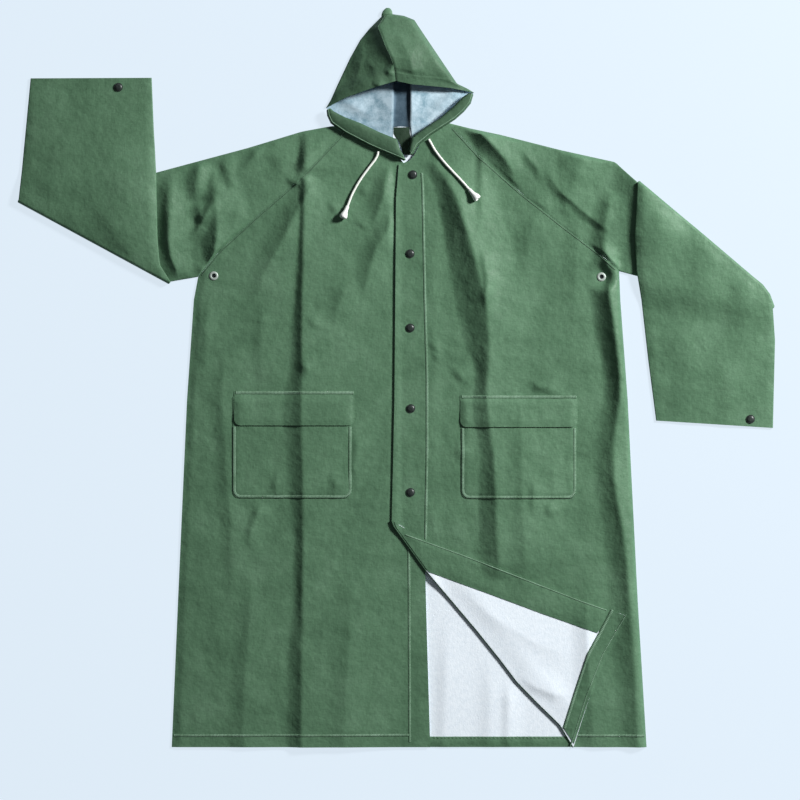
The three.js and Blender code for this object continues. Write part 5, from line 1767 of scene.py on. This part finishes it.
def turned_mesh(profile, closed=False):
    """Points and faces turned about Z from (radius, height) points, in millimetres."""
    points, index = [], []
    for radius, height in profile:
        row = []
        for k in range(LATHE_SIDES if radius > 0 else 1):
            angle = 2 * math.pi * k / LATHE_SIDES
            row.append(len(points))
            points.append((radius * math.cos(angle), radius * math.sin(angle), height))
        index.append(row)
    pairs = list(zip(index, index[1:])) + ([(index[-1], index[0])] if closed else [])
    faces = []
    for low_row, high_row in pairs:
        for k in range(LATHE_SIDES):
            a, b = low_row[k % len(low_row)], low_row[(k + 1) % len(low_row)]
            c, d = high_row[(k + 1) % len(high_row)], high_row[k % len(high_row)]
            faces.append(tuple(dict.fromkeys([a, b, c, d])))
    return np.array(points, float), faces


def add_hard(name, node, points, faces, material):
    """A hard piece from points that are already in frame millimetres."""
    piece = new_piece(name, points * MM, [], faces, [material])
    for polygon in piece.data.polygons:
        polygon.use_smooth = True
    piece.data.set_sharp_from_angle(angle=math.radians(SHARP_HARD))
    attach(piece, "root")
    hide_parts(node)
    return piece


snap_points, snap_faces = turned_mesh(SNAP_PROFILE)
snap_nodes = [f"snap_{k}" for k in range(1, 6)] + ["cuff_snap_right", "cuff_snap_left"]
for node in snap_nodes:
    x, y, under, _ = place_of(node)
    points = snap_points + np.array([x, y, under])
    add_hard(f"{node}_cap", node, points, snap_faces, snap_metal)
print("snaps:", len(snap_nodes))

eyelet_points, eyelet_faces = turned_mesh(EYELET_PROFILE, closed=True)
for side in EYELETS:
    name, node = f"eyelet_ring_{side}", f"eyelet_{side}"
    x, y, _, top = place_of(node)
    points = eyelet_points + np.array([x, y, top])
    ring = add_hard(name, node, points, eyelet_faces, eyelet_metal_painted_reflection)
    # Inside the hole the ring gets the black snap finish, as painted shade
    ring.data.materials.append(snap_metal)
    for polygon in ring.data.polygons:
        away = math.hypot(polygon.center.x / MM - x, polygon.center.y / MM - y)
        polygon.material_index = int(away < EYELET_PAINTED_SHADE_BORE)
print("eyelets:", len(EYELETS))

# %% [markdown]
# Each cord hangs out of its cheek band and lies on the front. Its route is the solids' own
# list of points. It rises a little at its end, where it enters the neck of its bell. A curve
# with a bevel would give a smooth tube, and this one has the relief of the braid.

# %% Cords on the route of the solids
CORD_RADIUS = 2.3
CORD_CLEAR = 0.7
CORD_RISE = 36.0
CORD_TIP_RISE = 0.4
CORD_SAMPLES = 260
CORD_STEPS = 60
CORD_SIDES = 18
BRAID_PITCH = 5.2
BRAID_LOW = 0.95
BRAID_RELIEF = 0.11
BELL_NECK = 3.6
BELL_MOUTH = 7.5
BELL_LENGTH = 25.0
BELL_CLEAR = 0.1
CORD_ROUTES = {
    "right": [(-34, 430), (-35, 424), (-40, 414), (-50, 401), (-68, 376), (-83, 349), (-92, 326)],
    "left": [(62, 453), (66, 446), (74, 432), (89, 412), (106, 393), (124, 374), (139, 357)],
}


def smooth_route(points, samples):
    """A centripetal spline through the points, evenly sampled."""
    points = [2 * points[0] - points[1], *points, 2 * points[-1] - points[-2]]
    dense = []
    for p0, p1, p2, p3 in zip(points, points[1:], points[2:], points[3:]):
        t0 = 0.0
        t1 = t0 + np.linalg.norm(p1 - p0) ** 0.5
        t2 = t1 + np.linalg.norm(p2 - p1) ** 0.5
        t3 = t2 + np.linalg.norm(p3 - p2) ** 0.5
        t = np.linspace(t1, t2, CORD_STEPS)[:, None]
        a1 = (t1 - t) / (t1 - t0) * p0 + (t - t0) / (t1 - t0) * p1
        a2 = (t2 - t) / (t2 - t1) * p1 + (t - t1) / (t2 - t1) * p2
        a3 = (t3 - t) / (t3 - t2) * p2 + (t - t2) / (t3 - t2) * p3
        b1 = (t2 - t) / (t2 - t0) * a1 + (t - t0) / (t2 - t0) * a2
        b2 = (t3 - t) / (t3 - t1) * a2 + (t - t1) / (t3 - t1) * a3
        dense.append((t2 - t) / (t2 - t1) * b1 + (t - t1) / (t2 - t1) * b2)
    dense = np.concatenate(dense)
    steps = np.linalg.norm(np.diff(dense, axis=0), axis=1)
    length = np.concatenate([[0.0], np.cumsum(steps)])
    at = np.linspace(0, length[-1], samples)
    return np.column_stack([np.interp(at, length, dense[:, k]) for k in range(3)]), length[-1]


def braided_tube(route, length):
    """Rings of a braided cord. Two crossed spirals raise and lower its surface."""
    tangent = np.gradient(route, axis=0)
    tangent /= np.linalg.norm(tangent, axis=1)[:, None]
    sideways = np.cross(tangent, (0.0, 0.0, 1.0))
    sideways /= np.linalg.norm(sideways, axis=1)[:, None]
    upward = np.cross(sideways, tangent)
    angle = 2 * np.pi * np.arange(CORD_SIDES) / CORD_SIDES
    points = []
    for k, centre in enumerate(route):
        run = length * k / (len(route) - 1)
        phase = 2 * np.pi * run / BRAID_PITCH
        relief = np.abs(np.sin(3 * angle + phase)) * np.abs(np.sin(3 * angle - phase))
        radius = CORD_RADIUS * (BRAID_LOW + BRAID_RELIEF * relief)
        side_part = np.outer(np.cos(angle) * radius, sideways[k])
        points.append(centre + side_part + np.outer(np.sin(angle) * radius, upward[k]))
    faces = [face[::-1] for face in grid_faces(len(route), CORD_SIDES, closed=True)]
    last = (len(route) - 1) * CORD_SIDES
    faces += [tuple(range(CORD_SIDES)), tuple(range(last, last + CORD_SIDES))[::-1]]
    return np.concatenate(points), faces


# %% Both cords with their bells
def turn_matrix(first, second, angle):
    """A turn by an angle from one axis towards another, where X, Y and Z are 0, 1 and 2."""
    matrix = np.eye(3)
    matrix[first, first] = matrix[second, second] = math.cos(angle)
    matrix[second, first] = math.sin(angle)
    matrix[first, second] = -math.sin(angle)
    return matrix


def lying_bell(path, floor):
    """The bell's points, laid on its flank at the end of a cord."""
    run = path[-1] - path[-2]
    tilt = math.asin((BELL_MOUTH - BELL_NECK) / BELL_LENGTH)
    points = np.column_stack([bell_points[:, 2], bell_points[:, 0], bell_points[:, 1]])
    points = points @ turn_matrix(0, 2, tilt).T @ turn_matrix(0, 1, math.atan2(run[1], run[0])).T
    points += path[-1] - points[0]
    points[:, 2] += max(0.0, floor + BELL_CLEAR - points[:, 2].min())
    return points


bell_points, bell_faces = turned_mesh(BELL_PROFILE)
for side, route in CORD_ROUTES.items():
    xs, ys = np.array(route, float).T
    near_end = 1 - smooth(np.hypot(xs - xs[-1], ys - ys[-1]) / CORD_RISE)
    rise = (BELL_NECK - CORD_RADIUS + CORD_TIP_RISE) * near_end
    zs = PANEL_UNDER[side](xs, ys) + CLOTH + CORD_CLEAR + CORD_RADIUS + rise
    path, length = smooth_route(list(to_frame(lift(xs, ys, zs)) / MM), CORD_SAMPLES)
    points, faces = braided_tube(path, length)
    name, node = f"cotton_cord_{side}", f"drawcord_{side}"
    drawcord = add_hard(name, node, points, faces, cotton)
    name, node = f"cord_bell_{side}", f"cord_end_{side}"
    points = lying_bell(path, place_of(node)[2])
    bell = add_hard(name, node, points, bell_faces, plastic)
    print(f"cord {side}: {length:.1f} mm")

# %% [markdown]
# ## Welded and sewn rows
#
# The hems, pockets and facings of coated cloth are welded, which leaves a pale pressed row, and
# the sleeve seams show as thin dark rows. Both are rows of equal small marks, so Geometry Nodes
# makes them: each row is drawn as a line on the cloth, the line is divided by the pitch, and a
# flat rounded pad is placed at each point along the line's direction. The pads overlap and
# read as one row. They could be painted on, but a real row has a height that catches light.

# %% Node tree for the rows
PAD_SEGMENTS = 6
PAD_RINGS = 4


def stitch_tree():
    """A tree that puts pads along rows. Returns it with its sockets by name."""
    tree = bpy.data.node_groups.new("stitch rows", "GeometryNodeTree")
    kinds = {
        "Rows": "Geometry", "Pitch": "Float", "Pad Length": "Float", "Pad Width": "Float",
        "Pad Thickness": "Float", "Paint": "Material",
    }
    sockets = {}
    for name, kind in kinds.items():
        socket_type = f"NodeSocket{kind}"
        sockets[name] = tree.interface.new_socket(name, in_out="INPUT", socket_type=socket_type)
    tree.interface.new_socket("Stitches", in_out="OUTPUT", socket_type="NodeSocketGeometry")
    start = tree.nodes.new("NodeGroupInput")
    curve = tree.nodes.new("GeometryNodeMeshToCurve")
    level = tree.nodes.new("GeometryNodeSetCurveNormal")
    points = tree.nodes.new("GeometryNodeCurveToPoints")
    points.mode = "LENGTH"
    bead = tree.nodes.new("GeometryNodeMeshUVSphere")
    bead.inputs["Segments"].default_value = PAD_SEGMENTS
    bead.inputs["Rings"].default_value = PAD_RINGS
    bead.inputs["Radius"].default_value = 0.5
    size = tree.nodes.new("ShaderNodeCombineXYZ")
    place = tree.nodes.new("GeometryNodeInstanceOnPoints")
    real = tree.nodes.new("GeometryNodeRealizeInstances")
    paint = tree.nodes.new("GeometryNodeSetMaterial")
    end = tree.nodes.new("NodeGroupOutput")
    link = tree.links.new
    link(start.outputs["Rows"], curve.inputs["Mesh"])
    link(curve.outputs["Curve"], level.inputs["Curve"])
    link(level.outputs["Curve"], points.inputs["Curve"])
    link(start.outputs["Pitch"], points.inputs["Length"])
    link(start.outputs["Pad Width"], size.inputs["X"])
    link(start.outputs["Pad Thickness"], size.inputs["Y"])
    link(start.outputs["Pad Length"], size.inputs["Z"])
    link(points.outputs["Points"], place.inputs["Points"])
    link(bead.outputs["Mesh"], place.inputs["Instance"])
    link(points.outputs["Rotation"], place.inputs["Rotation"])
    link(size.outputs["Vector"], place.inputs["Scale"])
    link(place.outputs["Instances"], real.inputs["Geometry"])
    link(real.outputs["Geometry"], paint.inputs["Geometry"])
    link(start.outputs["Paint"], paint.inputs["Material"])
    link(paint.outputs["Geometry"], end.inputs["Stitches"])
    return tree, sockets


STITCH_TREE, STITCH_SOCKETS = stitch_tree()
print("nodes of the row tree:", len(STITCH_TREE.nodes))

# %% [markdown]
# A row needs a path, the surface it lies on, and the size of its pads. Wide pads close together
# give a weld, and narrow ones a seam. The surfaces are the same functions that made the cloth,
# so a row follows every crease.

# %% Draw rows on surfaces
# Pitch, length, width and height of the pads, in millimetres
WELD = {"Pitch": 2.6, "Pad Length": 3.6, "Pad Width": 5.6, "Pad Thickness": 0.9}
POCKET_WELD = {**WELD, "Pad Width": 7.0}
FACING_WELD = {**WELD, "Pad Width": 3.0}
BAND_WELD = {**WELD, "Pad Width": 2.4}
SLEEVE_SEAM = {**WELD, "Pad Width": 1.8}
CORNER_WELD = {**WELD, "Pitch": 3.0, "Pad Length": 4.0, "Pad Width": 2.2}
CORNER_INNER_WELD = {**WELD, "Pitch": 3.0, "Pad Length": 4.2, "Pad Width": 6.0}
BACK_HEM_WELD = {**WELD, "Pitch": 7.0, "Pad Length": 5.0, "Pad Width": 2.0}
PAD_RISE = 0.25
ROW_STEP = 4.0


def stitch_rows(name, rows, pads=WELD, paint=weld_green):
    """rows is a list of (path, surface): each path is drawn on the top of its surface."""
    points, edges = [], []
    for path, surface in rows:
        count = max(2, int(path_length(path) / ROW_STEP))
        at = along(path, np.linspace(0, 1, count))
        first = len(points)
        points += list(lift(at["x"], at["y"], surface(at["x"], at["y"]) + PAD_RISE))
        edges += [(first + k, first + k + 1) for k in range(count - 1)]
    piece = new_piece(name, to_frame(points), edges, [], [])
    modifier = piece.modifiers.new("stitches", "NODES")
    modifier.node_group = STITCH_TREE
    for socket, size in pads.items():
        modifier[STITCH_SOCKETS[socket].identifier] = size * MM
    modifier[STITCH_SOCKETS["Paint"].identifier] = paint
    freeze(piece)
    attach(piece, "root")
    print(f"{name}: {len(piece.data.polygons)} faces, {piece.dimensions.z / MM:.1f} mm high")


def top_of(under):
    return lambda x, y: under(x, y) + CLOTH


def moved_in(path, distance):
    """A path moved to its left by a distance."""
    run_x, run_y = np.gradient(path["x"]), np.gradient(path["y"])
    run = np.hypot(run_x, run_y)
    return {"x": path["x"] - run_y / run * distance, "y": path["y"] + run_x / run * distance}


def dense(points, count=60):
    """A path with many even points, so that a bend in it stays round when it is moved."""
    return along(path_of(points), np.linspace(0, 1, count))


# %% [markdown]
# The long row down the front marks the inner edge of the facing under it. The pockets have a
# wide weld round three sides and along the flap's top. The turned corner shows the weld of its
# hem from inside.

# %% Rows on the body
PLACKET_ROW = [(49, 388), (51, 357), (55, 148), (59, 0), (59, -137), (56, -308), (55, -345)]
UNDER_EDGE_ROW = [(24, -318), (25, -400), (26, -690)]
HEM_ROW_RIGHT = [(-421, -679), (26, -678)]
HEM_ROW_LEFT = [(345, -679), (470, -679)]
BACK_HEM_ROW = [(66, -684), (330, -684)]
FACING_ROW = [(20, -294)] + CORNER_FRONT_EDGE[1:-1] + [(400, -437)]
SEAM_ROW = (0.02, 0.97, 80)
SEAM_OFFSET = 3.4
FACING_OFFSET = -4.0
CORNER_OFFSET = -6.0
CORNER_INNER_OFFSET = 3.5
BAND_OFFSET = 4.0
POCKET_INSET = 3.0
POCKET_ROW_POINTS = 160
FLAP_INSET = 4.0
FLAP_TOP_INSET = 3.0

right_top, left_top = top_of(right_under), top_of(left_under)
stitch_rows("stitches_front", [
    (path_of(PLACKET_ROW), left_top),
    (path_of(UNDER_EDGE_ROW), right_top),
    (path_of(HEM_ROW_RIGHT), right_top),
    (path_of(HEM_ROW_LEFT), left_top),
])
for side, seam, body, way in (
    ("right", SEAM_RIGHT, right_top, -1), ("left", SEAM_LEFT, left_top, 1),
):
    row = moved_in(along(seam, np.linspace(*SEAM_ROW)), way * SEAM_OFFSET)
    stitch_rows(f"stitches_shoulder_{side}", [(row, body)], SLEEVE_SEAM, seam_green)
for side, boxes in POCKETS.items():
    x_low, x_high, top, bottom = boxes["pocket"]
    flap_low, flap_high, flap_top, flap_bottom = boxes["flap"]
    bag = rounded_box(*boxes["pocket"])
    pocket_row = rounded_box(
        x_low + POCKET_INSET, x_high - POCKET_INSET, flap_bottom - FLAP_INSET, bottom + POCKET_INSET,
    )
    flap_row = [
        (flap_low + FLAP_INSET, flap_top - FLAP_TOP_INSET),
        (flap_high - FLAP_INSET, flap_top - FLAP_TOP_INSET),
    ]
    cover_top = laid_top(rounded_box(*boxes["flap"]), flap_surface(side, bag, flap_bottom))
    stitch_rows(f"stitches_pocket_{side}", [
        (dense(pocket_row, POCKET_ROW_POINTS), laid_top(bag, on_panel(side, 1), POCKET_SWELL)),
        (path_of(flap_row), cover_top),
    ], POCKET_WELD)
facing_top = laid_top(FACING_OUTLINE, on_corner)
facing_row = moved_in(dense(FACING_ROW), FACING_OFFSET)
stitch_rows("stitches_facing", [(facing_row, facing_top)], FACING_WELD)
corner_top = laid_top(CORNER_HEM_OUTLINE, on_corner)
corner_row = moved_in(dense(CORNER_HEM_EDGE), CORNER_OFFSET)
stitch_rows("stitches_corner", [(corner_row, corner_top)], CORNER_WELD)
inner_row = moved_in(dense(CORNER_HEM_INNER), CORNER_INNER_OFFSET)
stitch_rows("stitches_corner_inner", [(inner_row, corner_top)], CORNER_INNER_WELD)
back_hem_top = laid_top(BACK_HEM_OUTLINE, back_hem_under)
stitch_rows("stitches_back_hem", [(path_of(BACK_HEM_ROW), back_hem_top)], BACK_HEM_WELD)
for side, way in (("right", 1), ("left", -1)):
    band_row = moved_in(dense(BANDS[side]["outer"]), way * BAND_OFFSET)
    stitch_rows(f"stitches_band_{side}", [(band_row, band_surface(side))], BAND_WELD)

# %% [markdown]
# ## What the cloth is
#
# A table lists the flat size each piece of cloth was cut to, as width, length and area, and what
# it lies on, and the sizes are printed beside the area of its mesh. A tube counts all round, and
# the part of the right front that the left one covers is part of its cut too.

# %% Flat sizes of the cloth
CUTS = {
    "back_panel": (0.90, 1.19, 0.905, ["floor"]),
    "front_panel_right": (0.50, 1.18, 0.490, ["back_panel"]),
    "front_panel_left": (0.50, 1.19, 0.480, ["back_panel", "front_panel_right"]),
    "pocket_bag_right": (0.226, 0.192, 0.043, ["front_panel_right"]),
    "pocket_bag_left": (0.218, 0.188, 0.041, ["front_panel_left"]),
    "pocket_cover_right": (0.229, 0.065, 0.0148, ["pocket_bag_right"]),
    "pocket_cover_left": (0.223, 0.060, 0.0133, ["pocket_bag_left"]),
    "facing_strip": (0.400, 0.055, 0.021, ["front_panel_left"]),
    "corner_hem_strip": (0.270, 0.032, 0.0082, ["front_panel_left"]),
    "back_hem_strip": (0.305, 0.020, 0.0061, ["back_panel"]),
    "sleeve_tube_right": (0.82, 0.88, 0.310, ["floor", "front_panel_right"]),
    "sleeve_tube_left": (0.82, 0.88, 0.315, ["floor", "front_panel_left"]),
    "hood_half_right": (0.16, 0.23, 0.033, ["floor"]),
    "hood_half_left": (0.18, 0.24, 0.037, ["floor"]),
    "cheek_band_right": (0.045, 0.17, 0.0055, ["front_panel_right"]),
    "cheek_band_left": (0.040, 0.17, 0.0040, ["front_panel_left"]),
    "neck_tape": (0.030, 0.050, 0.0012, ["hood_half_left"]),
    "rolled_tip": (0.085, 0.017, 0.0009, ["floor"]),
}
for name, (width, length, area, rests_on) in CUTS.items():
    piece = bpy.data.objects[name]
    shown = sum(p.area for p in piece.data.polygons) / 2
    print(f"{name}: cut {width} x {length} m, {area} m2 flat, {shown:.4f} m2 in the mesh")
